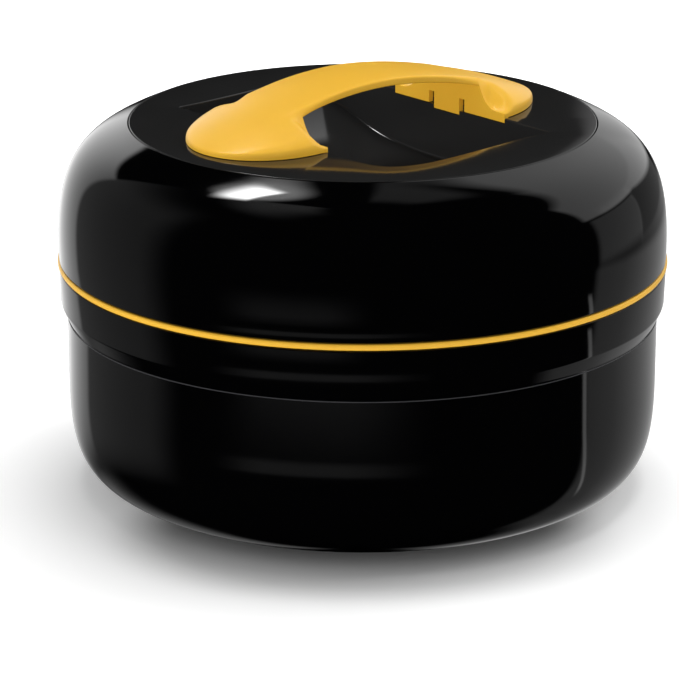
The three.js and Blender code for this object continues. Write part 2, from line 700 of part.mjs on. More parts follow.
/** Ring of a round dish's outline, drawn in by an inset, at a level. */
function roundOutline(inset, level) {
  const radius = dishRadius - inset;
  return Array.from({ length: ROUND_SEGMENTS }, (_, i) => {
    const angle = 2 * Math.PI * i / ROUND_SEGMENTS;
    return new THREE.Vector3(radius * Math.cos(angle), radius * Math.sin(angle), level);
  });
}

/** Ring of a half-moon dish's outline on the +Y side, drawn in by an inset, at a level. */
function halfMoonOutline(inset, level) {
  const cornerY = HALF_DISH_SPLIT / 2 + HALF_DISH_PLAN_CORNER;
  const cornerReach = dishRadius - HALF_DISH_PLAN_CORNER;
  const cornerX = Math.sqrt(cornerReach ** 2 - cornerY ** 2);
  const meet = THREE.MathUtils.radToDeg(Math.atan2(cornerY, cornerX));
  const corner = HALF_DISH_PLAN_CORNER - inset;
  return [
    ...arc(at(cornerX, cornerY), corner, -90, meet),
    ...arc(at(0, 0), dishRadius - inset, meet, 180 - meet, ROUND_SEGMENTS / 2).slice(1, -1),
    ...arc(at(-cornerX, cornerY), corner, 180 - meet, 270),
  ].map((point) => new THREE.Vector3(point.x, point.y, level));
}

// A dish's wall stands inside its lid's skirt, and the seal lies on the wall's top edge.
const dishWallInset = DISH_LID_WALL + SEAT_GAP;
const dishLidRise = DISH_SEAL_HEIGHT + 2 * SEAT_GAP + DISH_LID_WALL;

/** A dish: floor, round bottom edge and upright wall, for an outline. */
function dish(outline, height, corner) {
  const outer = arc(at(corner, corner), corner, -90, -180);
  const inner = arc(at(corner, corner), corner - DISH_WALL, -180, -90);
  return loft([...outer, at(0, height), at(DISH_WALL, height), ...inner].map(
    (point) => outline(dishWallInset + point.x, point.y),
  ));
}

/** A dish's lid: plate, skirt outside the wall and ridge inside it. */
function dishLid(outline, height) {
  const top = height + dishLidRise;
  const ceiling = top - DISH_LID_WALL;
  const ridgeOuter = dishWallInset + DISH_WALL + SEAT_GAP;
  const ridgeInner = ridgeOuter + DISH_LID_WALL;
  return loft([
    [ridgeInner, ceiling],
    [ridgeInner, height - DISH_LID_RIDGE],
    [ridgeOuter, height - DISH_LID_RIDGE],
    [ridgeOuter, ceiling],
    [DISH_LID_WALL, ceiling],
    [DISH_LID_WALL, height - DISH_LID_SKIRT],
    [0, height - DISH_LID_SKIRT],
    [0, top],
  ].map(([inset, level]) => outline(inset, level)));
}

/** A dish's seal, in the lid's channel over the wall. */
function dishSeal(outline, height) {
  const bottom = height + SEAT_GAP;
  const top = bottom + DISH_SEAL_HEIGHT;
  const far = dishWallInset + DISH_WALL;
  return loft([
    outline(dishWallInset, bottom), outline(dishWallInset, top), outline(far, top), outline(far, bottom),
  ], true);
}

/** A dish with its lid and seal, in a group that stands on the dish's own base. */
function dishSet(name, outline, height, corner) {
  const set = new THREE.Group();
  set.add(
    meshOf(name, dish(outline, height, corner), material.dish),
    meshOf(`${name}_lid`, dishLid(outline, height), material.dishLid),
    meshOf(`${name}_seal`, dishSeal(outline, height), material.seal),
  );
  return set;
}

const bowl = new THREE.Group();
bowl.add(
  meshOf('bowl_outer_shell', bowlOuterShell(), material.blackGloss),
  meshOf('bowl_base_plug', bowlBasePlug(), material.blackSatin),
  meshOf('bowl_insulation', bowlInsulation(), material.foam),
  meshOf('bowl_inner_liner', bowlInnerLiner(), material.liner),
);

const rim = new THREE.Group();
rim.add(
  meshOf('trim_ring', trimRing(), material.yellow),
  meshOf('lid_seal', lidSeal(), material.seal),
);

const lid = new THREE.Group();
lid.position.z = lidLevel;
lid.add(
  meshOf('lid_outer_shell', lidOuterShell(), material.blackGloss),
  meshOf('lid_top_plate', lidTopPlate(), material.blackSatin),
  meshOf('lid_insulation', lidInsulation(), material.foam),
  meshOf('lid_inner_liner', lidInnerLiner(), material.liner),
);
const handle = meshOf('handle', handleBridge(), material.yellow);
handle.position.z = discLevel;
lid.add(handle);

const roundDishLevel = floorLevel + SEAT_GAP;
const halfDishLevel = roundDishLevel + ROUND_DISH_HEIGHT + dishLidRise + SEAT_GAP;
const halfDishHeight = lidLevel + ceilingLevel - HEADROOM - dishLidRise - halfDishLevel;

const roundDish = dishSet('round_dish', roundOutline, ROUND_DISH_HEIGHT, ROUND_DISH_CORNER);
roundDish.position.z = roundDishLevel;
const leftDish = dishSet('left_dish', halfMoonOutline, halfDishHeight, HALF_DISH_CORNER);
leftDish.position.z = halfDishLevel;
const rightDish = dishSet('right_dish', halfMoonOutline, halfDishHeight, HALF_DISH_CORNER);
rightDish.position.z = halfDishLevel;
rightDish.rotation.z = Math.PI;

const lunchBox = new THREE.Group();
lunchBox.add(bowl, rim, lid, roundDish, leftDish, rightDish);

export default lunchBox;
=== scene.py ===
"""Looks of the insulated lunch box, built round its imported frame. Sizes are millimetres."""
import logging
from collections.abc import Sequence
from dataclasses import dataclass
from enum import Enum
from math import atan2, cos, degrees, hypot, pi, radians, sin, sqrt, tan

import bmesh
import bpy
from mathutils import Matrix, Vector


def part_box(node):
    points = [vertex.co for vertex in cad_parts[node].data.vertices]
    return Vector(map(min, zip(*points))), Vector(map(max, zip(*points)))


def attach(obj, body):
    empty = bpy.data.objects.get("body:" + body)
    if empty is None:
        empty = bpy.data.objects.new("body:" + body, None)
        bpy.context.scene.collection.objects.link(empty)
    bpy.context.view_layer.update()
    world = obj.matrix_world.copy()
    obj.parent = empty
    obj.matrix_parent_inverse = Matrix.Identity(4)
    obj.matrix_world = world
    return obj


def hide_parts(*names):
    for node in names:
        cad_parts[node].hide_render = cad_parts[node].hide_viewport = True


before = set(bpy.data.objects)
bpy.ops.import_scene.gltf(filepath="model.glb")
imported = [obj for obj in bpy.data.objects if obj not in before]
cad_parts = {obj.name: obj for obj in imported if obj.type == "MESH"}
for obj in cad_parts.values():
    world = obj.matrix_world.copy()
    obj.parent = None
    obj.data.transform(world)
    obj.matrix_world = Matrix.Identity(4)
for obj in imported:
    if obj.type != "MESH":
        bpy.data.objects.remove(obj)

MM = 0.001
LOG = logging.getLogger("lunch_box")
Point = tuple[float, float]
Spot = tuple[float, float, float]
Colour = tuple[float, float, float]
Line = Sequence[Point]
Piece = bpy.types.Object
Material = bpy.types.Material
Socket = bpy.types.NodeSocket


class Join(Enum):
    """What one solid does to another."""

    ADD = "UNION"
    CUT = "DIFFERENCE"


class Edge(Enum):
    """How light fades out at the edge of a panel."""

    SOFT = "SMOOTHSTEP"
    EVEN = "LINEAR"


class Plan(Enum):
    """Outline of a dish seen from above."""

    ROUND = "round"
    LEFT = "left"
    RIGHT = "right"


def bezier(start: Point, leave: Point, arrive: Point, end: Point, steps: int = 48) -> list[Point]:
    """Points of a cubic curve.

    Args:
        start: First point.
        leave: Handle that the curve leaves the first point towards.
        arrive: Handle that the curve comes to the last point from.
        end: Last point.
        steps: Number of straight pieces.

    Returns:
        The points, both ends included.
    """
    line = []
    for i in range(steps + 1):
        t = i / steps
        weights = ((1 - t) ** 3, 3 * t * (1 - t) ** 2, 3 * t * t * (1 - t), t ** 3)
        line.append(tuple(
            sum(w * p[axis] for w, p in zip(weights, (start, leave, arrive, end))) for axis in (0, 1)
        ))
    return line


def arc(centre: Point, radius: float, first: float, last: float, steps: int = 12) -> list[Point]:
    """Points of an arc between two angles in degrees.

    Args:
        centre: Middle of the arc.
        radius: Its radius.
        first: Angle of the first point.
        last: Angle of the last point.
        steps: Number of straight pieces.

    Returns:
        The points, both ends included.
    """
    turns = [radians(first + (last - first) * i / steps) for i in range(steps + 1)]
    return [(centre[0] + radius * cos(turn), centre[1] + radius * sin(turn)) for turn in turns]


def inset_line(line: Line, inset: float) -> list[Point]:
    """An open line moved to its left.

    Args:
        line: Points of the line.
        inset: How far it moves.

    Returns:
        As many points.
    """
    moved = []
    for i, (x, y) in enumerate(line):
        before, after = line[max(i - 1, 0)], line[min(i + 1, len(line) - 1)]
        run, rise = after[0] - before[0], after[1] - before[1]
        length = hypot(run, rise)
        moved.append((x - rise / length * inset, y + run / length * inset))
    return moved


def rounded(corners: Sequence[tuple[float, ...]], closed: bool = True, steps: int = 6) -> list[Point]:
    """A line whose corners are rounded where they state a radius.

    Args:
        corners: Points as (x, y) or (x, y, radius).
        closed: Whether the last corner joins the first.
        steps: Straight pieces in each rounding.

    Returns:
        The points of the line.
    """
    line: list[Point] = []
    for i, corner in enumerate(corners):
        here = Vector(corner[:2])
        is_end = not closed and i in (0, len(corners) - 1)
        if len(corner) < 3 or is_end:
            line.append(tuple(here))
            continue
        back = Vector(corners[i - 1][:2]) - here
        ahead = Vector(corners[(i + 1) % len(corners)][:2]) - here
        half = back.angle(ahead) / 2
        run = min(corner[2] / tan(half), 0.48 * back.length, 0.48 * ahead.length)
        start, end = here + back.normalized() * run, here + ahead.normalized() * run
        away = (back.normalized() + ahead.normalized()).normalized()
        centre = here + away * (run / cos(half))
        from_centre, to_centre = start - centre, end - centre
        sweep = from_centre.angle(to_centre)
        for k in range(steps + 1):
            share = k / steps
            spoke = from_centre * sin((1 - share) * sweep) + to_centre * sin(share * sweep)
            line.append(tuple(centre + spoke / sin(sweep)))
    return line


def quarter(steps: int) -> list[Point]:
    """How far a rounding has run in, and how far it still has to go across that, over a quarter turn."""
    turns = [pi / 2 * i / steps for i in range(steps + 1)]
    return [(1 - cos(turn), 1 - sin(turn)) for turn in turns]


def grown(line: Line, growth: float) -> list[Point]:
    """A closed line moved to its left with its corners kept sharp.

    Args:
        line: Points of the line, clockwise, so that left is outward.
        growth: How far it moves.

    Returns:
        As many points.
    """
    moved = []
    for i, here in enumerate(line):
        before, after = line[i - 1], line[(i + 1) % len(line)]
        one = Vector((before[1] - here[1], here[0] - before[0])).normalized()
        two = Vector((here[1] - after[1], after[0] - here[0])).normalized()
        moved.append(tuple(Vector(here) + (one + two) * (growth / (1 + one.dot(two)))))
    return moved


def between(low: float, high: float, share: float) -> float:
    """The value a share of the way from low to high."""
    return low + (high - low) * share


def solid(name: str, spots: Sequence[Spot], faces: Sequence[Sequence[int]], crease: float = 32) -> Piece:
    """A closed mesh object from points in millimetres.

    Args:
        name: Name of the piece.
        spots: Its points.
        faces: Its faces, as numbers of points.
        crease: Angle in degrees over which an edge shows sharp.

    Returns:
        The object, linked to the scene.
    """
    mesh = bpy.data.meshes.new(name)
    mesh.from_pydata([tuple(value * MM for value in spot) for spot in spots], [], faces)
    piece = bpy.data.objects.new(name, mesh)
    bpy.context.scene.collection.objects.link(piece)
    tidy(piece, crease)
    return piece


def tidy(piece: Piece, crease: float) -> None:
    """Welds a piece's points, turns its faces outward and smooths it up to a crease angle.

    Args:
        piece: The piece.
        crease: Angle in degrees over which an edge shows sharp.
    """
    work = bmesh.new()
    work.from_mesh(piece.data)
    bmesh.ops.remove_doubles(work, verts=work.verts, dist=0.001 * MM)
    bmesh.ops.dissolve_degenerate(work, edges=work.edges, dist=0.0005 * MM)
    bmesh.ops.recalc_face_normals(work, faces=work.faces)
    work.to_mesh(piece.data)
    work.free()
    piece.data.shade_smooth()
    piece.data.set_sharp_from_angle(angle=radians(crease))


def loft(name: str, rings: Sequence[Sequence[Spot]], looped: bool = False, crease: float = 32) -> Piece:
    """A solid through closed rings of equal counts.

    Args:
        name: Name of the piece.
        rings: The rings, in order.
        looped: Whether the last ring joins the first. Otherwise both ends are capped.
        crease: Angle in degrees over which an edge shows sharp.

    Returns:
        The object.
    """
    count = len(rings[0])
    spots = [spot for ring in rings for spot in ring]
    faces = []
    for i in range(len(rings) if looped else len(rings) - 1):
        here, there = i * count, (i + 1) % len(rings) * count
        for j in range(count):
            k = (j + 1) % count
            faces.append((here + j, here + k, there + k, there + j))
    if not looped:
        faces += [tuple(range(start, start + count)) for start in (0, (len(rings) - 1) * count)]
    return solid(name, spots, faces, crease)


def lathe(name: str, outline: Line, segments: int = 256, crease: float = 32) -> Piece:
    """A solid of revolution round Z.

    Args:
        name: Name of the piece.
        outline: Points as (radius, height), from axis to axis or closed on itself.
        segments: Straight pieces round the axis.
        crease: Angle in degrees over which an edge shows sharp.

    Returns:
        The object.
    """
    turns = [2 * pi * i / segments for i in range(segments)]
    spots = [(r * cos(turn), r * sin(turn), z) for turn in turns for r, z in outline]
    count = len(outline)
    on_axis = outline[0][0] == 0
    faces = []
    for i in range(segments):
        here, there = i * count, (i + 1) % segments * count
        for j in range(count - 1 if on_axis else count):
            k = (j + 1) % count
            faces.append((here + j, there + j, there + k, here + k))
    return solid(name, spots, faces, crease)


def sector(name: str, outline: Line, first: float, last: float) -> Piece:
    """An outline in (radius, height) swept between two angles in degrees, with a rounding at both ends.

    Args:
        name: Name of the piece.
        outline: Closed outline.
        first: Angle that it starts at.
        last: Angle that it ends at.

    Returns:
        The object.
    """
    middle = Vector((sum(p[0] for p in outline), sum(p[1] for p in outline))) / len(outline)
    inset = (0.5, 0.15, 0.0)
    shares = (0.0, 0.15, 0.5)
    ends = list(zip(shares, inset)) + [(1.0, 0.0)]
    stops = [(first + degrees(share / middle.x), drawn) for share, drawn in ends]
    stops += [(between(first, last, i / 8), 0.0) for i in range(1, 8)]
    stops += [(last - degrees(share / middle.x), drawn) for share, drawn in reversed(ends)]
    rings = []
    for angle, drawn in sorted(stops):
        ring = []
        for r, z in outline:
            toward = Vector((r, z)) - middle
            drawn_in = middle + toward * (1 - drawn / max(toward.length, 1))
            ring.append((drawn_in.x * cos(radians(angle)), drawn_in.x * sin(radians(angle)), drawn_in.y))
        rings.append(ring)
    return loft(name, rings)


def prism(name: str, outline: Line, near: float, far: float) -> Piece:
    """An outline in the upright (Y, Z) plane, carried from one x to another.

    Args:
        name: Name of the piece.
        outline: Closed outline.
        near: First x.
        far: Last x.

    Returns:
        The object.
    """
    count = len(outline)
    spots = [(x, y, z) for x in (near, far) for y, z in outline]
    faces = [(j, (j + 1) % count, count + (j + 1) % count, count + j) for j in range(count)]
    return solid(name, spots, [*faces, tuple(range(count)), tuple(range(count, 2 * count))])


def block(name: str, low: Spot, high: Spot) -> Piece:
    """A plain box between two corners, used to add to or cut from a piece."""
    outline = [(low[1], low[2]), (high[1], low[2]), (high[1], high[2]), (low[1], high[2])]
    return prism(name, outline, low[0], high[0])


def merge(piece: Piece, *others: Piece) -> Piece:
    """Puts other meshes into a piece as they are, and removes them.

    Args:
        piece: The piece that takes them in.
        others: The pieces that go into it.

    Returns:
        The piece.
    """
    work = bmesh.new()
    for part in (piece, *others):
        work.from_mesh(part.data)
    work.to_mesh(piece.data)
    work.free()
    for part in others:
        bpy.data.objects.remove(part)
    return piece


def combine(piece: Piece, tool: Piece, join: Join, crease: float = 32) -> Piece:
    """Adds a tool to a piece or cuts it out, and removes the tool.

    Args:
        piece: The piece that changes.
        tool: The solid added or cut out.
        join: Which of the two.
        crease: Angle in degrees over which an edge shows sharp.

    Returns:
        The piece.
    """
    step = piece.modifiers.new("combine", "BOOLEAN")
    step.operation, step.object, step.solver = join.value, tool, "EXACT"
    view = bpy.context.evaluated_depsgraph_get()
    view.update()
    made = bpy.data.meshes.new_from_object(piece.evaluated_get(view))
    piece.modifiers.clear()
    piece.data = made
    bpy.data.objects.remove(tool)
    tidy(piece, crease)
    return piece


class Wiring:
    """Adds shader nodes to a node tree and links them."""

    def __init__(self, tree: bpy.types.NodeTree) -> None:
        """Starts on an emptied tree."""
        self.tree = tree
        tree.nodes.clear()

    def add(self, kind: str, settings: dict[str, object] | None = None,
            inputs: dict[str | int, object] | None = None) -> bpy.types.Node:
        """A new node.

        Args:
            kind: Blender's name of the node type.
            settings: Properties of the node.
            inputs: Values or sockets for its inputs.

        Returns:
            The node.
        """
        node = self.tree.nodes.new(kind)
        for key, value in (settings or {}).items():
            setattr(node, key, value)
        for key, value in (inputs or {}).items():
            if isinstance(value, Socket):
                self.tree.links.new(value, node.inputs[key])
            else:
                node.inputs[key].default_value = value
        return node

    def math(self, operation: str, *values: object) -> Socket:
        """Result of a sum on numbers or sockets."""
        return self.add("ShaderNodeMath", {"operation": operation}, dict(enumerate(values))).outputs[0]

    def spread(self, value: Socket, source: Point, target: Point,
               edge: Edge = Edge.EVEN) -> Socket:
        """A value carried from one range to another and held at its ends.

        Args:
            value: The socket read.
            source: Range that it comes in.
            target: Range that it leaves in.
            edge: How it runs between the ends.

        Returns:
            The socket with the result.
        """
        node = self.add("ShaderNodeMapRange", {"interpolation_type": edge.value, "clamp": True}, {
            "Value": value, "From Min": source[0], "From Max": source[1],
            "To Min": target[0], "To Max": target[1],
        })
        return node.outputs[0]

    def noise(self, place: Socket, size: float, detail: float, roughness: float = 0.5) -> Socket:
        """Soft noise with features of a size in millimetres.

        Args:
            place: Where it is read.
            size: Size of its features.
            detail: How many finer layers it has.
            roughness: How strong the finer layers are.

        Returns:
            The socket with the result.
        """
        return self.add("ShaderNodeTexNoise", None, {
            "Vector": place, "Scale": 1 / (size * MM), "Detail": detail, "Roughness": roughness,
        }).outputs["Fac"]

    def mix(self, share: Socket, one: Sequence[float], two: Sequence[float]) -> Socket:
        """A colour a share of the way from one to another.

        Args:
            share: The share, from 0 to 1.
            one: The first colour.
            two: The second colour.

        Returns:
            The socket with the result.
        """
        return self.add("ShaderNodeMix", {"data_type": "RGBA"}, {
            "Factor": share, 6: (*one, 1.0), 7: (*two, 1.0),
        }).outputs[2]

    def bump(self, height: Socket, depth: float) -> Socket:
        """The normal over a grain of a depth in millimetres.

        Args:
            height: Height of the grain, from 0 to 1.
            depth: Its depth in millimetres.

        Returns:
            The socket with the result.
        """
        return self.add("ShaderNodeBump", None, {
            "Height": height, "Distance": depth * MM, "Strength": 1.0,
        }).outputs["Normal"]

    def seen(self) -> Socket:
        """1 for the camera's rays and those off gloss and through glass, 0 for the light on matt surfaces.

        Returns:
            The socket with the result.
        """
        path = self.add("ShaderNodeLightPath").outputs
        off = self.math("MAXIMUM", path["Is Glossy Ray"], path["Is Transmission Ray"])
        return self.math("MAXIMUM", path["Is Camera Ray"], off)


def new_material(name: str) -> tuple[Material, Wiring]:
    """An empty material and the wiring that fills it.

    Args:
        name: Its name.

    Returns:
        The material and its wiring.
    """
    made = bpy.data.materials.new(name)
    made.use_nodes = True
    return made, Wiring(made.node_tree)


@dataclass(frozen=True)
class Plastic:
    """A moulded plastic: its colour drifts slightly, and its roughness and grain come from noise."""

    name: str
    colour: Colour
    roughness: float
    roughness_drift: float
    tint_drift: float
    grain_size: float
    grain_depth: float
    patch_size: float = 30.0
    soft_light: float = 0.0

    def material(self) -> Material:
        """The finish as a material, made once.

        Returns:
            The material.
        """
        if self.name in bpy.data.materials:
            return bpy.data.materials[self.name]
        made, wires = new_material(self.name)
        place = wires.add("ShaderNodeTexCoord").outputs["Object"]
        patches = wires.noise(place, self.patch_size, 4.0, 0.55)
        grain = wires.noise(place, self.grain_size, 2.5)
        both = wires.math("MULTIPLY_ADD", grain, 0.35, wires.math("MULTIPLY", patches, 0.65))
        rough = wires.spread(both, (0.3, 0.7), (
            self.roughness - self.roughness_drift, self.roughness + self.roughness_drift,
        ))
        tint = wires.mix(wires.spread(both, (0.3, 0.7), (0.0, 1.0)),
                         [value * (1 - self.tint_drift) for value in self.colour],
                         [min(value * (1 + self.tint_drift), 1.0) for value in self.colour])
        shader = wires.add("ShaderNodeBsdfPrincipled", None, {
            "Base Color": tint, "Roughness": rough, "Normal": wires.bump(grain, self.grain_depth),
            "Subsurface Weight": self.soft_light, "Subsurface Scale": 0.6 * MM,
        })
        wires.add("ShaderNodeOutputMaterial", None, {"Surface": shader.outputs[0]})
        return made


@dataclass(frozen=True)
class Foam:
    """Poured rigid foam with open cells on its skin."""

    name: str
    colour: Colour
    cell_size: float
    cell_depth: float

    def material(self) -> Material:
        """The finish as a material, made once.

        Returns:
            The material.
        """
        if self.name in bpy.data.materials:
            return bpy.data.materials[self.name]
        made, wires = new_material(self.name)
        place = wires.add("ShaderNodeTexCoord").outputs["Object"]
        cells = wires.add("ShaderNodeTexVoronoi", None, {
            "Vector": place, "Scale": 1 / (self.cell_size * MM),
        }).outputs["Distance"]
        drift = wires.noise(place, 8 * self.cell_size, 3.0)
        shade = [value * 0.72 for value in self.colour]
        shader = wires.add("ShaderNodeBsdfPrincipled", None, {
            "Base Color": wires.mix(wires.math("MULTIPLY", cells, drift), self.colour, shade),
            "Roughness": wires.spread(drift, (0.3, 0.7), (0.8, 0.95)),
            "Normal": wires.bump(cells, self.cell_depth),
        })
        wires.add("ShaderNodeOutputMaterial", None, {"Surface": shader.outputs[0]})
        return made


class Finishes:
    """The finishes that the lunch box is moulded in."""

    shell = Plastic("gloss_black_moulding", (0.0006, 0.0006, 0.0007), 0.05, 0.01, 0.12, 1.6, 0.0003, 45.0)
    plate = Plastic("semi_gloss_black_moulding", (0.016, 0.016, 0.016), 0.09, 0.012, 0.08, 0.7, 0.0006, 25.0)
    liner = Plastic("satin_charcoal_moulding", (0.048, 0.048, 0.052), 0.36, 0.03, 0.06, 0.5, 0.004, 22.0)
    accent = Plastic("satin_yellow_moulding", (0.83, 0.462, 0.036), 0.36, 0.03, 0.025, 0.45, 0.004, 18.0,
                     soft_light=0.06)
    seal = Plastic("soft_grey_rubber", (0.52, 0.51, 0.48), 0.62, 0.05, 0.05, 0.35, 0.006, 14.0)
    dish = Plastic("smooth_off_white_moulding", (0.78, 0.76, 0.70), 0.30, 0.03, 0.02, 0.6, 0.003, 20.0,
                   soft_light=0.12)
    dish_lid = Plastic("satin_pale_yellow_moulding", (0.82, 0.58, 0.17), 0.38, 0.03, 0.03, 0.45, 0.004, 18.0,
                       soft_light=0.08)
    foam = Foam("poured_foam", (0.83, 0.79, 0.66), 0.9, 0.12)


def dress(piece: Piece, finish: Plastic, body: str) -> Piece:
    """Gives a piece its finish as its one material, and puts it on its body.

    Args:
        piece: The piece.
        finish: What it is moulded in.
        body: The body that it moves with.

    Returns:
        The piece.
    """
    piece.data.materials.clear()
    piece.data.materials.append(finish.material())
    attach(piece, body)
    LOG.info("%s rides on %s", piece.name, body)
    return piece


def settle(piece: Piece, finish: Plastic, body: str, node: str) -> Piece:
    """Dresses a piece, puts it in place of a CAD node, and reports how well it keeps to that node.

    Args:
        piece: The piece.
        finish: What it is moulded in.
        body: The body that it moves with.
        node: The CAD node that it stands for.

    Returns:
        The piece.
    """
    dress(piece, finish, body)
    low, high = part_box(node)
    corners = [Vector(corner) for corner in piece.bound_box]
    reach = max(
        max(abs(min(c[axis] for c in corners) - low[axis]),
            abs(max(c[axis] for c in corners) - high[axis]))
        for axis in range(3)
    )
    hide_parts(node)
    LOG.info("%s stands for %s, %d faces, within %.2f mm of its box",
             piece.name, node, len(piece.data.polygons), reach / MM)
    return piece


@dataclass(frozen=True)
class Fit:
    """Radii, levels and clearances that several pieces share."""

    body_radius: float = 123.5
    bowl_height: float = 93.1
    ring_height: float = 2.5
    shell_wall: float = 2.5
    liner_wall: float = 2.2
    rim_foam: float = 5.7
    floor_foam: float = 7.0
    seat_gap: float = 0.3
    run_gap: float = 0.8
    dish_gap: float = 2.5
    bore_gap: float = 3.0
    lip_height: float = 6.0
    lip_wall: float = 2.2
    seal_width: float = 2.9
    seal_step: float = 3.0
    seal_groove: float = 1.2
    skirt_depth: float = 13.0
    lug_reach: float = 3.2
    lug_thickness: float = 3.0
    lug_play: float = 0.5
    lug_degrees: float = 30.0
    lug_count: int = 4
    join: float = 0.9
    disc_height: float = 55.2
    disc_radius: float = 94.6
    ceiling_drop: float = 34.3

    @property
    def neck_radius(self) -> float:
        """Bore of the bowl's neck."""
        return self.body_radius - self.shell_wall - self.rim_foam - 2 * self.seat_gap - self.liner_wall

    @property
    def lug_radius(self) -> float:
        """Reach of the lid's lugs, clear of the neck."""
        return self.neck_radius - self.run_gap

    @property
    def skirt_radius(self) -> float:
        """Outside of the lid's skirt."""
        return self.lug_radius - self.lug_reach

    @property
    def skirt_bore(self) -> float:
        """Inside of the lid's skirt."""
        return self.skirt_radius - self.liner_wall

    @property
    def dish_radius(self) -> float:
        """Outside of the dishes' lids."""
        return self.skirt_bore - self.dish_gap

    @property
    def seal_outer_radius(self) -> float:
        """Outside of the step that the seal stands on."""
        return self.neck_radius + 2 * self.seat_gap + self.seal_width

    @property
    def lip_outer_radius(self) -> float:
        """Outside of the liners' rims, inside the shells."""
        return self.body_radius - self.shell_wall - self.seat_gap

    @property
    def lip_inner_radius(self) -> float:
        """Inside of the liners' rims."""
        return self.lip_outer_radius - self.lip_wall

    @property
    def floor_level(self) -> float:
        """Top of the bowl's floor."""
        return self.shell_wall + self.floor_foam + 2 * self.seat_gap + self.liner_wall

    @property
    def lid_level(self) -> float:
        """Foot of the lid."""
        return self.bowl_height + self.ring_height + 2 * self.seat_gap

    @property
    def disc_level(self) -> float:
        """Top of the flat disc."""
        return self.lid_level + self.disc_height

    @property
    def ceiling_level(self) -> float:
        """Underside of the lid's ceiling."""
        return self.disc_level - self.ceiling_drop

    @property
    def skirt_bottom(self) -> float:
        """Foot of the lid's skirt."""
        return self.bowl_height - self.skirt_depth


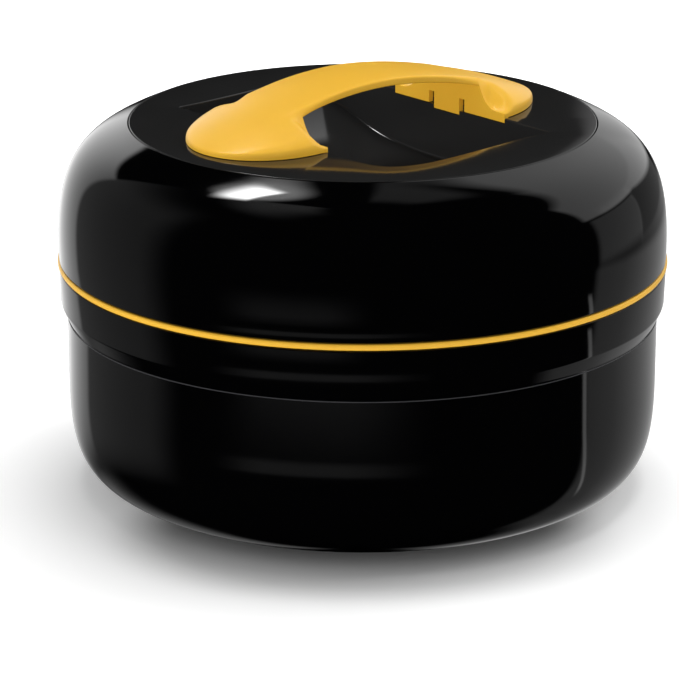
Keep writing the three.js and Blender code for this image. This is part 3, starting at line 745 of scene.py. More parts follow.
@dataclass
class Bowl:
    """The foam-walled bowl: shell, port plug, liner with its lock lugs, and the foam between."""

    fit: Fit
    band_height: float = 14.6
    band_draft: float = 0.5
    step_height: float = 6.0
    step_depth: float = 2.7
    step_round: float = 2.2
    bead_radius: float = 0.22
    bead_drop: float = 0.6
    turn_height: float = 48.0
    corner_rise: float = 8.4
    corner_inset: float = 4.1
    flat_radius: float = 62.0
    bead_height: float = 3.0
    bead_depth: float = 1.6
    port_radius: float = 9.0
    plug_radius: float = 12.0
    plug_depth: float = 1.5
    floor_round: float = 25.0
    shoulder_rise: float = 2.0
    shoulder_clearance: float = 2.0
    stop_degrees: float = 3.0
    stop_play: float = 1.0

    @property
    def shoulder_level(self) -> float:
        """Level at which the neck steps in to the tub."""
        return self.fit.skirt_bottom - self.shoulder_clearance

    def turn(self) -> list[Point]:
        """The line from the base flat up to the wall.

        Returns:
            The points.
        """
        wall = self.fit.body_radius - self.band_draft - self.step_depth
        return bezier((self.flat_radius, 0), (wall - self.corner_inset, 0), (wall, self.corner_rise),
                      (wall, self.turn_height), 64)

    def shell(self) -> Piece:
        """The glossy outer shell: band, sloping step, wall, round base turn and foam port.

        Returns:
            The piece.
        """
        fit = self.fit
        turn = self.turn()
        foot = fit.bowl_height - self.band_height
        upright = [(turn[-1][0], foot - self.step_height, self.step_round),
                   (fit.body_radius - self.band_draft, foot, self.step_round)]
        bore = fit.body_radius - fit.shell_wall
        bead = fit.bowl_height - fit.lip_height - fit.seat_gap
        outside = [*turn, *(corner[:2] for corner in upright), (fit.body_radius, bead - self.bead_height)]
        inside = inset_line(outside, fit.shell_wall)
        return lathe("bowl_shell", rounded([
            (self.plug_radius, 0, 0.3), *turn, *upright, (fit.body_radius, fit.bowl_height, 0.5),
            (bore, fit.bowl_height, 0.4), (bore, bead), (bore - self.bead_depth, bead, 0.4),
            *reversed(inside), (self.port_radius, fit.shell_wall, 0.3), (self.port_radius, self.plug_depth),
            (self.plug_radius, self.plug_depth),
        ]), 288)

    def parting_bead_painted_highlight(self) -> Piece:
        """The fine moulding bead under the step of the band, which also stands in for the thin highlight line
        there.

        Returns:
            The piece.
        """
        wall = self.fit.body_radius - self.band_draft - self.step_depth
        level = self.fit.bowl_height - self.band_height - self.step_height - self.bead_drop
        return lathe("parting_bead_painted_highlight", arc((wall, level), self.bead_radius, 360, 0, 10)[:-1], 288)

    def plug(self) -> Piece:
        """The plug of the foam port.

        Returns:
            The piece.
        """
        gap = self.fit.seat_gap
        head, stem, top = self.plug_radius - gap, self.port_radius - gap, self.plug_depth - gap
        return lathe("port_plug", rounded([
            (0, gap + 0.25), (4.2, gap + 0.25, 0.4), (4.9, gap, 0.4), (head, gap, 0.4), (head, top),
            (stem, top), (stem, self.fit.shell_wall), (0, self.fit.shell_wall),
        ], closed=False), 96)

    def liner_line(self, growth: float) -> list[Point]:
        """The liner's line from the axis out to its neck, grown outward by a thickness.

        Args:
            growth: How far the line is moved.

        Returns:
            The points.
        """
        fit = self.fit
        bore = fit.dish_radius + fit.bore_gap
        centre = (bore - self.floor_round, fit.floor_level + self.floor_round)
        return [
            (0, fit.floor_level - growth), *arc(centre, self.floor_round + growth, -90, 0, 24),
            (bore + growth, self.shoulder_level - self.shoulder_rise - growth),
            (fit.neck_radius + growth, self.shoulder_level - growth),
        ]

    def liner(self) -> Piece:
        """The tub with its neck, seal step and rim, and the four lugs and stops of the lock.

        Returns:
            The piece.
        """
        fit = self.fit
        high = fit.bowl_height
        step = high - fit.seal_step
        inner = [(*p, 0.8) if i in (0, 1) else p for i, p in enumerate(reversed(self.liner_line(0)))]
        tub = lathe("bowl_tub", rounded([
            *self.liner_line(fit.liner_wall), (fit.neck_radius + fit.liner_wall, step - fit.liner_wall),
            (fit.lip_inner_radius, step - fit.liner_wall), (fit.lip_inner_radius, high - fit.lip_height),
            (fit.lip_outer_radius, high - fit.lip_height), (fit.lip_outer_radius, high, 0.5),
            (fit.seal_outer_radius, high, 0.5), (fit.seal_outer_radius, step, 0.4),
            (fit.neck_radius, step, 0.6), *inner,
        ], closed=False), 240)
        near, far = fit.skirt_radius + fit.run_gap, fit.neck_radius + fit.join
        low = fit.skirt_bottom + fit.lug_thickness + fit.lug_play
        over = [(far, low + fit.lug_thickness), (near, low + fit.lug_thickness, 0.5)]
        lug = rounded([(near, low, 0.5), (far, low), *over])
        foot = self.shoulder_level - fit.join
        stop = rounded([(near, foot, 0.3), (far, foot), *over])
        extras = []
        for i in range(fit.lug_count):
            middle = 360 / fit.lug_count * i
            start = middle - fit.lug_degrees / 2 - self.stop_play
            extras.append(sector(f"bowl_lug_{i}", lug, start, middle + fit.lug_degrees / 2))
            extras.append(sector(f"bowl_stop_{i}", stop, start - self.stop_degrees, start + 0.2))
        return merge(tub, *extras)

    def build(self) -> None:
        """Makes the bowl's pieces and puts them on its body."""
        settle(self.shell(), Finishes.shell, "bowl", "bowl_outer_shell")
        # The bead takes the lighter charcoal finish rather than the shell's black, so it shows as a painted
        # highlight line under the step.
        dress(self.parting_bead_painted_highlight(), Finishes.liner, "bowl")
        settle(self.plug(), Finishes.plate, "bowl", "bowl_base_plug")
        settle(self.liner(), Finishes.liner, "bowl", "bowl_inner_liner")
        dress_foam("bowl_insulation")


def dress_foam(node: str) -> None:
    """Gives a foam node, whose CAD shape stays, its finish.

    Args:
        node: The CAD node.
    """
    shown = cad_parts[node]
    shown.data.materials.clear()
    shown.data.materials.append(Finishes.foam.material())
    LOG.info("%s keeps its CAD shape", node)


@dataclass
class Rim:
    """What sits between bowl and lid: the trim ring and the seal."""

    fit: Fit
    proud: float = 0.5
    bead_round: float = 1.0

    def ring(self) -> Piece:
        """The trim ring, with a soft bead outside and the seal's groove below.

        Returns:
            The piece.
        """
        fit = self.fit
        low, groove = fit.bowl_height + fit.seat_gap, fit.bowl_height + fit.seat_gap + fit.seal_groove
        high, outer = low + fit.ring_height, fit.body_radius + self.proud
        bore = fit.skirt_radius + fit.run_gap
        return lathe("trim_bead", rounded([
            (bore, low, 0.4), (fit.neck_radius, low, 0.2), (fit.neck_radius, groove),
            (fit.seal_outer_radius, groove), (fit.seal_outer_radius, low, 0.2),
            (outer, low, self.bead_round), (outer, high, self.bead_round), (bore, high, 0.4),
        ]), 288)

    def seal(self) -> Piece:
        """The seal, with two pressing lips on its top.

        Returns:
            The piece.
        """
        fit = self.fit
        low, high = fit.bowl_height - fit.seal_step + fit.seat_gap, fit.bowl_height + fit.seal_groove
        inner, wide = fit.neck_radius + fit.seat_gap, fit.seal_width
        return lathe("rim_seal", rounded([
            (inner, low, 0.4), (inner + wide, low, 0.4), (inner + wide, high, 0.5),
            (inner + 0.62 * wide, high, 0.3), (inner + 0.5 * wide, high - 0.8, 0.3),
            (inner + 0.38 * wide, high, 0.3), (inner, high, 0.5),
        ]), 240)

    def build(self) -> None:
        """Makes both pieces and puts them on their body."""
        settle(self.ring(), Finishes.accent, "rim", "trim_ring")
        settle(self.seal(), Finishes.seal, "rim", "lid_seal")


@dataclass
class Dome:
    """The lid's shells: the glossy dome outside, and the liner with its skirt and lock lugs inside."""

    fit: Fit
    side_height: float = 6.8
    shoulder_drop: float = 12.3
    shoulder_inset: float = 12.4
    edge_drop: float = 7.2
    seam_round: float = 0.4
    plate_wall: float = 2.5
    ledge: float = 7.0
    ceiling_round: float = 10.0

    def shell(self) -> Piece:
        """The dome, from its upright side over the shoulder to the seam of the disc.

        Returns:
            The piece.
        """
        fit = self.fit
        top = fit.disc_level
        turn = bezier(
            (fit.body_radius, fit.lid_level + self.side_height), (fit.body_radius, top - self.shoulder_drop),
            (fit.body_radius - self.shoulder_inset, top - self.edge_drop), (fit.disc_radius, top), 72,
        )
        ledge_top = top - self.plate_wall - fit.seat_gap
        ledge_low = ledge_top - fit.shell_wall
        inside = [p for p in reversed(inset_line(turn, fit.shell_wall)) if p[1] < ledge_low]
        bore = fit.disc_radius - self.ledge
        return lathe("lid_dome", rounded([
            (fit.body_radius, fit.lid_level, 0.5), *turn[:-1], (*turn[-1], self.seam_round),
            (fit.disc_radius, ledge_top), (bore, ledge_top), (bore, ledge_low), (inside[0][0], ledge_low),
            *inside, (fit.body_radius - fit.shell_wall, fit.lid_level, 0.4),
        ]), 288)

    def ceiling_line(self, growth: float) -> list[Point]:
        """The liner's line from its wall in to the axis, grown outward by a thickness.

        Args:
            growth: How far the line is moved.

        Returns:
            The points.
        """
        fit = self.fit
        centre = (fit.skirt_bore - self.ceiling_round, fit.ceiling_level - self.ceiling_round)
        return [*arc(centre, self.ceiling_round + growth, 0, 90, 16), (0, fit.ceiling_level + growth)]

    def liner(self) -> Piece:
        """The lid's inside: ceiling, flange and the skirt with four lugs.

        Returns:
            The piece.
        """
        fit = self.fit
        foot, base = fit.skirt_bottom, fit.lid_level
        cap = lathe("lid_ceiling", rounded([
            *reversed(self.ceiling_line(0)), (fit.skirt_bore, foot, 0.7), (fit.skirt_radius, foot, 0.7),
            (fit.skirt_radius, base, 0.4), (fit.lip_outer_radius, base, 0.5),
            (fit.lip_outer_radius, base + fit.lip_height), (fit.lip_inner_radius, base + fit.lip_height),
            (fit.lip_inner_radius, base + fit.liner_wall), (fit.skirt_radius, base + fit.liner_wall),
            *self.ceiling_line(fit.liner_wall),
        ], closed=False), 240)
        near, far, high = fit.skirt_radius - fit.join, fit.lug_radius, foot + fit.lug_thickness
        lug = rounded([(near, foot), (far, foot, 0.5), (far, high, 0.5), (near, high)])
        half, pitch = fit.lug_degrees / 2, 360 / fit.lug_count
        middles = [pitch * i + pitch / 2 for i in range(fit.lug_count)]
        return merge(cap, *(sector(f"lid_lug_{m:.0f}", lug, m - half, m + half) for m in middles))

    def build(self) -> None:
        """Makes the lid's shells and puts them on its body."""
        settle(self.shell(), Finishes.shell, "lid", "lid_outer_shell")
        settle(self.liner(), Finishes.liner, "lid", "lid_inner_liner")
        dress_foam("lid_insulation")


@dataclass
class Handle:
    """The bridge handle: a waisted grip, two flared hollow feet, release notches, tongues and hooks."""

    fit: Fit
    rise: float = 20.5
    reach: float = 83.5
    root: float = 43.8
    crest_power: float = 1.8
    grip_half: float = 16.3
    root_half: float = 17.0
    grip_edge: float = 3.0
    crown: float = 0.8
    lean: float = 0.9
    lean_power: float = 6.0
    edge_round: float = 1.0
    root_blend: float = 3.4
    under_round: float = 0.5
    foot_half: float = 33.5
    foot_shift: float = 3.5
    tip_shift: float = 2.0
    foot_straight: float = 1.0
    foot_lip: float = 1.6
    foot_wall: float = 2.2
    lip_round: float = 0.8
    wall_round: float = 0.4
    outline_power: float = 2.0
    flare_power: float = 4.0
    flare_fade: float = 8.0
    tip_crown_power: float = 0.5
    wall_drop: float = 1.8
    tongue_half: float = 7.6
    tongue_shift: float = 2.0
    tongue_drop: float = 3.6
    notch_width: float = 3.2
    notch_height: float = 3.0
    hook_inset: float = 17.0
    hook_half: float = 7.0
    hook_wall: float = 2.2
    hook_barb: float = 1.3
    hook_barb_height: float = 1.5
    crown_share: float = 0.72
    plate_wall: float = 2.5
    hook_overlap: float = 0.9
    pull_length: float = 6.0
    pull_slope: float = 0.45
    crease: float = 40.0
    crown_steps: int = 26
    grip_stations: int = 72
    skin_rows: int = 30

    @property
    def foot_top(self) -> float:
        """Height of the feet's rims over the disc."""
        return self.fit.seat_gap + self.foot_lip

    def crest(self, x: float) -> float:
        """Height of the middle line over the disc."""
        fall = min(abs(x) / self.reach, 1) ** self.crest_power
        return self.foot_top + (self.rise - self.foot_top) * (1 - fall)

    def crown_drop(self, y: float) -> float:
        """How far the crowned top has dropped at a distance from its middle line."""
        return self.crown * (y / self.grip_half) ** 2

    def side_shift(self, x: float) -> float:
        """Sideways place of a section: it swings out to the inner walls, and back over the feet.

        Args:
            x: Distance along the handle.

        Returns:
            The value, in millimetres.
        """
        out = min(abs(x) / self.root, 1)
        swing = self.foot_shift * out * (3 - out ** 2) / 2
        run = max((abs(x) - self.root) / (self.reach - self.root), 0)
        shift = (self.foot_shift + self.tip_shift) * run - swing
        return shift if x > 0 else -shift

    def half_at(self, x: float) -> float:
        """Half width of the grip, waisted toward the middle."""
        return self.grip_half + (self.root_half - self.grip_half) * (x / self.root) ** 2

    def foot_half_at(self, x: float) -> float:
        """Half width of a foot at a distance along the handle.

        Args:
            x: Distance along the handle.

        Returns:
            The value, in millimetres.
        """
        start = self.root + self.foot_straight
        share = max(abs(x) - start, 0) / (self.reach - start)
        return self.foot_half * max(1 - share ** self.outline_power, 0) ** (1 / self.outline_power)

    def crown_line(self, x: float, half: float) -> list[Point]:
        """Points across half of the top, from its middle to near its side edge."""
        shares = [self.crown_share * i / self.crown_steps for i in range(self.crown_steps + 1)]
        return [(half * share, self.crest(x) - self.crown_drop(half * share)) for share in shares]

    def skin(self, x: float, y: float) -> float:
        """Height of a foot's top over the disc.

        Args:
            x: Distance along the handle.
            y: Distance from the section's middle.

        Returns:
            The height: a crown that blends into a hollow flare near the inner wall, and a dome near the tip.
        """
        half = max(self.foot_half_at(x), 0.5)
        seam = half * self.root_half / self.foot_half
        top, flat = self.crest(x), self.foot_top
        out = min((abs(y) - seam) / (half - seam), 1.0)
        crown = top - self.crown_drop(y)
        flare = flat + (top - self.crown_drop(seam) - flat) * (1 - out) ** self.flare_power
        soft = self.root_blend * (top - flat) / (self.crest(self.root) - flat) + 0.05
        near = max(soft - abs(crown - flare), 0) / soft
        flared = min(crown, flare) - near ** 2 * soft / 4
        domed = flat + (top - flat) * max(1 - (y / half) ** 2, 0) ** self.tip_crown_power
        run = min(max((abs(x) - self.root) / self.flare_fade, 0), 1)
        return max(between(flared, domed, run * run * (3 - 2 * run)), flat)

    def grip_ring(self, x: float) -> list[Point]:
        """Right half of the grip's section, from the middle of the top round to the middle of the underside.

        Args:
            x: Distance along the handle.

        Returns:
            The points, which take on the feet's section toward the roots.
        """
        half, top = self.half_at(x), self.crest(x)
        edge = top - self.crown_drop(half)
        under, steps = edge - self.grip_edge, self.crown_steps
        plain = rounded([
            *self.crown_line(x, half), (half, edge, self.edge_round), (half, under, self.under_round),
            (0, under),
        ], closed=False)
        shares = [self.crown_share * i / steps for i in range(steps + 1)]
        shares += [between(self.crown_share, 1 + self.lean / self.root_half, i / 7) for i in range(1, 8)]
        lift = top - self.crest(self.root)
        flared = rounded([
            *((half * share, self.skin(self.root, self.root_half * share) + lift) for share in shares),
            (half * shares[-1], under, self.under_round), (0, under),
        ], closed=False)
        weight = (abs(x) / self.root) ** self.lean_power
        return [(between(a[0], b[0], weight), between(a[1], b[1], weight)) for a, b in zip(plain, flared)]

    def plan(self) -> list[Point]:
        """A foot's outline from the inner wall's near end round the tip to its far end.

        Returns:
            The points.
        """
        start, power = self.root + self.foot_straight, 2 / self.outline_power
        quarter = [(self.root, -self.foot_half)]
        steps = self.crown_steps + 2
        for i in range(steps + 1):
            turn = pi / 2 * i / steps
            quarter.append((
                start + (self.reach - start) * sin(turn) ** power, -self.foot_half * cos(turn) ** power,
            ))
        return quarter + [(x, -y) for x, y in reversed(quarter[:-1])]

    def foot_column(self, rim: Point, root: Spot, drawn: float) -> list[Spot]:
        """Points of a foot's skin from its underside up the rim and over the flare to the grip.

        Args:
            rim: Where the column leaves the outline.
            root: Where it meets the grip.
            drawn: How far it is drawn in for the rounding of the inner wall's edge.

        Returns:
            The points, in the handle's own frame, over the disc.
        """
        low, top = self.fit.seat_gap, self.foot_top
        toward = Vector((root[0] - rim[0], root[1] - rim[1]))
        length = toward.length
        inward = toward.normalized()
        column: list[Spot] = [(*rim, low)]
        for share, drop in quarter(6):
            run = self.lip_round * share
            x, y = rim[0] + inward.x * run, rim[1] + inward.y * run
            column.append((x, y, max(self.skin(x, y), top) - self.lip_round * drop))
        for i in range(1, self.skin_rows):
            run = between(self.lip_round, length, i / self.skin_rows)
            x, y = rim[0] + inward.x * run, rim[1] + inward.y * run
            column.append((x, y, self.skin(x, y)))
        column.append(root)
        if not drawn:
            return column
        pulled = []
        for i, (x, y, z) in enumerate(column):
            left = min((length - hypot(x - rim[0], y - rim[1])) / self.pull_length, 1)
            share = drawn * (left if i < len(column) - 1 else 0)
            slope = 1.0 if i < 3 else self.pull_slope
            pulled.append((x, y + inward.y * share * slope, z - share * (1 - slope) if i else z))
        return pulled

    def body(self) -> Piece:
        """Grip and feet as one closed skin.

        Returns:
            The piece.
        """
        spots: list[Spot] = []
        faces: list[Sequence[int]] = []
        stations = [self.root * (2 * i / self.grip_stations - 1) for i in range(self.grip_stations + 1)]
        halves = [self.grip_ring(x) for x in stations]
        count = len(halves[0])
        for x, half in zip(stations, halves):
            spots += [(x, y, z) for y, z in half] + [(x, -y, z) for y, z in half[-2:0:-1]]
        around = 2 * count - 2
        for i in range(self.grip_stations):
            for j in range(around):
                k = (j + 1) % around
                faces.append((i * around + j, i * around + k, (i + 1) * around + k, (i + 1) * around + j))
        shared = self.crown_steps + 7
        for side in (1, -1):
            root_ring = (self.grip_stations if side > 0 else 0) * around
            across = [root_ring + (around - j) % around for j in range(shared, 0, -1)]
            across += [root_ring + j for j in range(shared + 1)]
            columns = self.foot_columns([spots[n] for n in across], side)
            rows = len(columns[0])
            start = len(spots)
            for column in columns:
                spots += [(side * x, y, z) for x, y, z in column]
            for c in range(len(columns) - 1):
                for r in range(rows - 1):
                    a, b = start + c * rows + r, start + (c + 1) * rows + r
                    faces.append((a, b, b + 1, a + 1))
            faces.append([start + c * rows for c in range(len(columns))])
            last = start + (len(columns) - 1) * rows
            lower = [root_ring + j for j in range(shared, around - shared + 1)]
            near = [start + r for r in range(rows - 1)]
            far = [last + r for r in range(rows - 1)]
            faces.append([*near, *reversed(lower), *reversed(far)])
        lift = self.fit.disc_level
        placed = [(x, y + self.side_shift(x), z + lift) for x, y, z in spots]
        return solid("carry_handle", placed, faces, self.crease)

    def foot_columns(self, across: Sequence[Spot], side: int) -> list[list[Spot]]:
        """All columns of a foot's skin, with the rounded edges of its inner wall.

        Args:
            across: Points of the grip's end that the columns run to.
            side: 1 or -1 along X.

        Returns:
            The columns, as if the foot were on the +X side.
        """
        plan = self.plan()
        roots = [(side * x, y, z) for x, y, z in across]
        picked = [between(0, len(plan) - 1, i / (len(roots) - 1)) for i in range(len(roots))]
        rims = []
        for place in picked:
            i = min(int(place), len(plan) - 2)
            rims.append(tuple(between(plan[i][k], plan[i + 1][k], place - i) for k in (0, 1)))
        columns = []
        for end in (0, -1):
            columns.append([self.foot_column((self.root + self.wall_round * run, rims[end][1]), roots[end],
                                             self.wall_round * drop) for run, drop in quarter(4)[:-1]])
        middle = [self.foot_column((max(rim[0], self.root + self.wall_round), rim[1]), root, 0)
                  for rim, root in zip(rims, roots)]
        return [*columns[0], *middle, *reversed(columns[1])]

    def hollow(self, side: int) -> Piece:
        """The space inside a foot.

        Args:
            side: 1 or -1 along X.

        Returns:
            The piece.
        """
        wall, rings = self.foot_wall, []
        for i in range(15):
            x = between(self.root + wall, self.reach - wall - 0.5, sin(pi / 2 * i / 14))
            half, shift = max(self.foot_half_at(x) - wall, 0.6), self.side_shift(side * x)
            line = [(half * share, max(self.skin(x, (half + wall) * share) - wall, -0.5))
                    for share in (0, 0.25, 0.42, 0.5, 0.55, 0.6, 0.66, 0.74, 0.82, 0.9, 0.96, 1.0)]
            right = [*line, (half, -5.0)]
            whole = right + [(-y, z) for y, z in reversed(right[1:])]
            rings.append([(side * x, shift + y, z + self.fit.disc_level) for y, z in whole])
        return loft("foot_hollow", rings)

    def piece(self, name: str, side: int, near: float, far: float, half: float, low: float, high: float,
              shift: float = 0.0) -> Piece:
        """A box on one side of the handle, from one distance to another along X, over the disc.

        Args:
            name: Its name.
            side: 1 or -1 along X.
            near: Where it starts along X.
            far: Where it ends along X.
            half: Half its width.
            low: Its foot over the disc.
            high: Its top over the disc.
            shift: Sideways place of its middle.

        Returns:
            The piece.
        """
        lift = self.fit.disc_level
        ends = sorted((side * near, side * far))
        return block(name, (ends[0], shift - half, low + lift), (ends[1], shift + half, high + lift))

    def moulding(self) -> Piece:
        """The whole handle.

        Returns:
            The piece.
        """
        body, gap = self.body(), self.fit.seat_gap
        wall_far = self.root + self.foot_wall
        apart = self.tongue_half + self.notch_width / 2
        hook = self.reach - self.hook_inset
        hook_foot = -self.plate_wall - gap - self.hook_barb_height
        sides = (1, -1)

        def change(tools: list[Piece], join: Join) -> None:
            """Adds tools to the body or cuts them out."""
            combine(body, merge(*tools), join, self.crease)

        change([self.hollow(s) for s in sides], Join.CUT)
        change([self.piece("wall", s, self.root, wall_far, self.foot_half - gap, -self.wall_drop,
                           self.foot_top, -s * self.foot_shift) for s in sides], Join.ADD)
        change([self.piece("notch", s, self.root - 5, wall_far + gap, self.notch_width / 2, -5,
                           gap + self.notch_height, side * apart - s * self.tongue_shift)
                for s in sides for side in sides], Join.CUT)
        change([self.piece("tongue", s, self.root, wall_far, self.tongue_half, -self.tongue_drop,
                           self.foot_top, -s * self.tongue_shift) for s in sides], Join.ADD)
        for s in sides:
            merge(body, self.piece("hook", s, hook, hook + self.hook_wall, self.hook_half, hook_foot,
                                   self.crest(hook) - self.foot_wall + self.hook_overlap),
                  self.piece("barb", s, hook + self.hook_wall, hook + self.hook_wall + self.hook_barb,
                             self.hook_half, hook_foot, hook_foot + self.hook_barb_height))
        return body

    def build(self) -> None:
        """Makes the handle and puts it on the lid."""
        settle(self.moulding(), Finishes.accent, "lid", "handle")


@dataclass
class TopPlate:
    """The flat disc of the lid with its scooped finger recess and the handle's seats."""

    fit: Fit
    handle: Handle
    wall: float = 2.5
    tub_wall: float = 2.0
    half_length: float = 43.8
    half_width: float = 63.5
    depth: float = 24.5
    bow: float = 15.0
    turn_start: float = 10.0
    turn_end: float = 17.0
    scoop_half_width: float = 67.5
    scoop_power: float = 2.3
    rim_round: float = 0.6
    floor_round: float = 1.6
    edge_round: float = 0.35
    backing: float = 2.0
    overlap: float = 0.1
    clearance: float = 5.0
    window_depth: float = 8.0
    crease: float = 38.0

    def rim(self) -> list[Point]:
        """The recess seen from above, clockwise: two sharp corners, and two that the long rims bow into.

        Returns:
            The points.
        """
        length, width = self.half_length, self.half_width
        near = bezier((length, -width), (-self.turn_start, -width), (-length, -width - self.bow),
                      (-length, self.turn_end - width), 96)
        end = [(-length, between(near[-1][1], width, i / 48)) for i in range(1, 48)]
        half = near + end
        return half + [(-x, -y) for x, y in half]

    def scoop(self, y: float, growth: float = 0.0) -> float:
        """Level of the recess floor, or of the tub's underside with a growth.

        Args:
            y: Distance from the long middle line.
            growth: How far the line is moved.

        Returns:
            The value, in millimetres.
        """
        share = min(abs(y) / (self.scoop_half_width + growth), 1.0)
        fall = (1 - share ** self.scoop_power) ** (1 / self.scoop_power)
        return self.fit.disc_level - (self.depth + growth) * fall

    def sunk(self, rim: Line) -> tuple[list[list[Point]], list[list[float]]]:
        """Rows from the rim's wall over the rounding at its foot, as a ball rolled along it leaves it.

        Args:
            rim: The recess seen from above.

        Returns:
            The rows seen from above, and the level of each point.
        """
        ball, samples = self.floor_round, 30
        inner = grown(rim, -1.0)
        steps = [(b[0] - a[0], b[1] - a[1]) for a, b in zip(rim, inner)]
        tops, turns = [], []
        for (x, y), (_, dy) in zip(rim, steps):
            best = max((self.scoop(y + dy * ball * (1 - cos(t))) + ball * sin(t), t)
                       for t in (pi / 2 * i / samples for i in range(samples + 1)))
            tops.append(best[0])
            turns.append(best[1])
        rows, levels = [], []
        for i in range(9):
            share = i / 8
            runs = [ball * (1 - cos(t * share)) for t in turns]
            rows.append([(x + dx * run, y + dy * run) for (x, y), (dx, dy), run in zip(rim, steps, runs)])
            levels.append([top - ball * sin(t * share) for top, t in zip(tops, turns)])
        return rows, levels

    def moulding(self) -> Piece:
        """The plate as one closed solid, with the seats of the handle cut in.

        Returns:
            The piece.
        """
        fit, disc, rim = self.fit, self.fit.disc_level, self.rim()
        radius = fit.disc_radius - fit.seat_gap
        rings: list[list[Spot]] = []

        def flat(line: Line, level: float) -> None:
            """Adds a ring at one level."""
            rings.append([(x, y, level) for x, y in line])

        def circle(reach: float) -> list[Point]:
            """The rim carried out to a circle, point by point."""
            return [(x * reach / hypot(x, y), y * reach / hypot(x, y)) for x, y in rim]

        outside = grown(rim, self.tub_wall)
        for share in (i / 16 for i in range(1, 17)):
            rings.append([(x * share, y * share, self.scoop(y * share, self.tub_wall)) for x, y in outside])
        flat(outside, disc - self.wall)
        flat(circle(radius), disc - self.wall)
        for run, drop in quarter(5):
            flat(circle(radius - self.edge_round * run), disc - self.edge_round * drop)
        for run, drop in quarter(6):
            flat(grown(rim, self.rim_round * drop + 1e-6), disc - self.rim_round * run)
        rows, levels = self.sunk(rim)
        for share in (0.25, 0.5, 0.75):
            rings.append([(x, y, between(disc - self.rim_round, level, share))
                          for (x, y), level in zip(rows[0], levels[0])])
        for row, level in zip(rows, levels):
            rings.append([(x, y, z) for (x, y), z in zip(row, level)])
        for i in range(1, 40):
            share = 1 - i / 40
            rings.append([(x * share, y * share, self.scoop(y * share)) for x, y in rows[-1]])
        plate = loft("lid_plate", rings, crease=self.crease)
        return self.seated(plate)

    def seated(self, plate: Piece) -> Piece:
        """Adds the backing behind the seats and cuts the seats of inner walls, tongues and hooks.

        Args:
            plate: The plate that changes.

        Returns:
            The piece.
        """
        fit, handle, disc = self.fit, self.handle, self.fit.disc_level
        gap, far = fit.seat_gap, self.half_length + handle.foot_wall + fit.seat_gap
        wide, narrow = handle.foot_half, handle.tongue_half + gap
        low, high = disc - handle.wall_drop - gap, disc + self.clearance
        deep = disc - handle.tongue_drop - gap
        hook = handle.reach - handle.hook_inset
        backs, cuts = [], []
        for side in (1, -1):
            ends = sorted((side * (self.half_length + self.overlap), side * (far + self.backing)))
            wall, tongue = -side * handle.foot_shift, -side * handle.tongue_shift
            backs.append(block("backing", (ends[0], wall - wide - self.backing, deep - self.backing),
                               (ends[1], wall + wide + self.backing, disc - gap)))
            seat = [(wall - wide, high), (wall - wide, low), (tongue - narrow, low), (tongue - narrow, deep),
                    (tongue + narrow, deep), (tongue + narrow, low), (wall + wide, low), (wall + wide, high)]
            ends = sorted((side * (self.half_length - self.clearance), side * far))
            cuts.append(prism("seat", seat, *ends))
            ends = sorted((side * (hook - gap), side * (hook + handle.hook_wall + handle.hook_barb + gap)))
            cuts.append(block("window", (ends[0], -handle.hook_half - gap, disc - self.window_depth),
                              (ends[1], handle.hook_half + gap, disc + self.clearance)))
        combine(plate, merge(*backs), Join.ADD, self.crease)
        return combine(plate, merge(*cuts), Join.CUT, self.crease)

    def build(self) -> None:
        """Makes the plate and puts it on the lid."""
        settle(self.moulding(), Finishes.plate, "lid", "lid_top_plate")


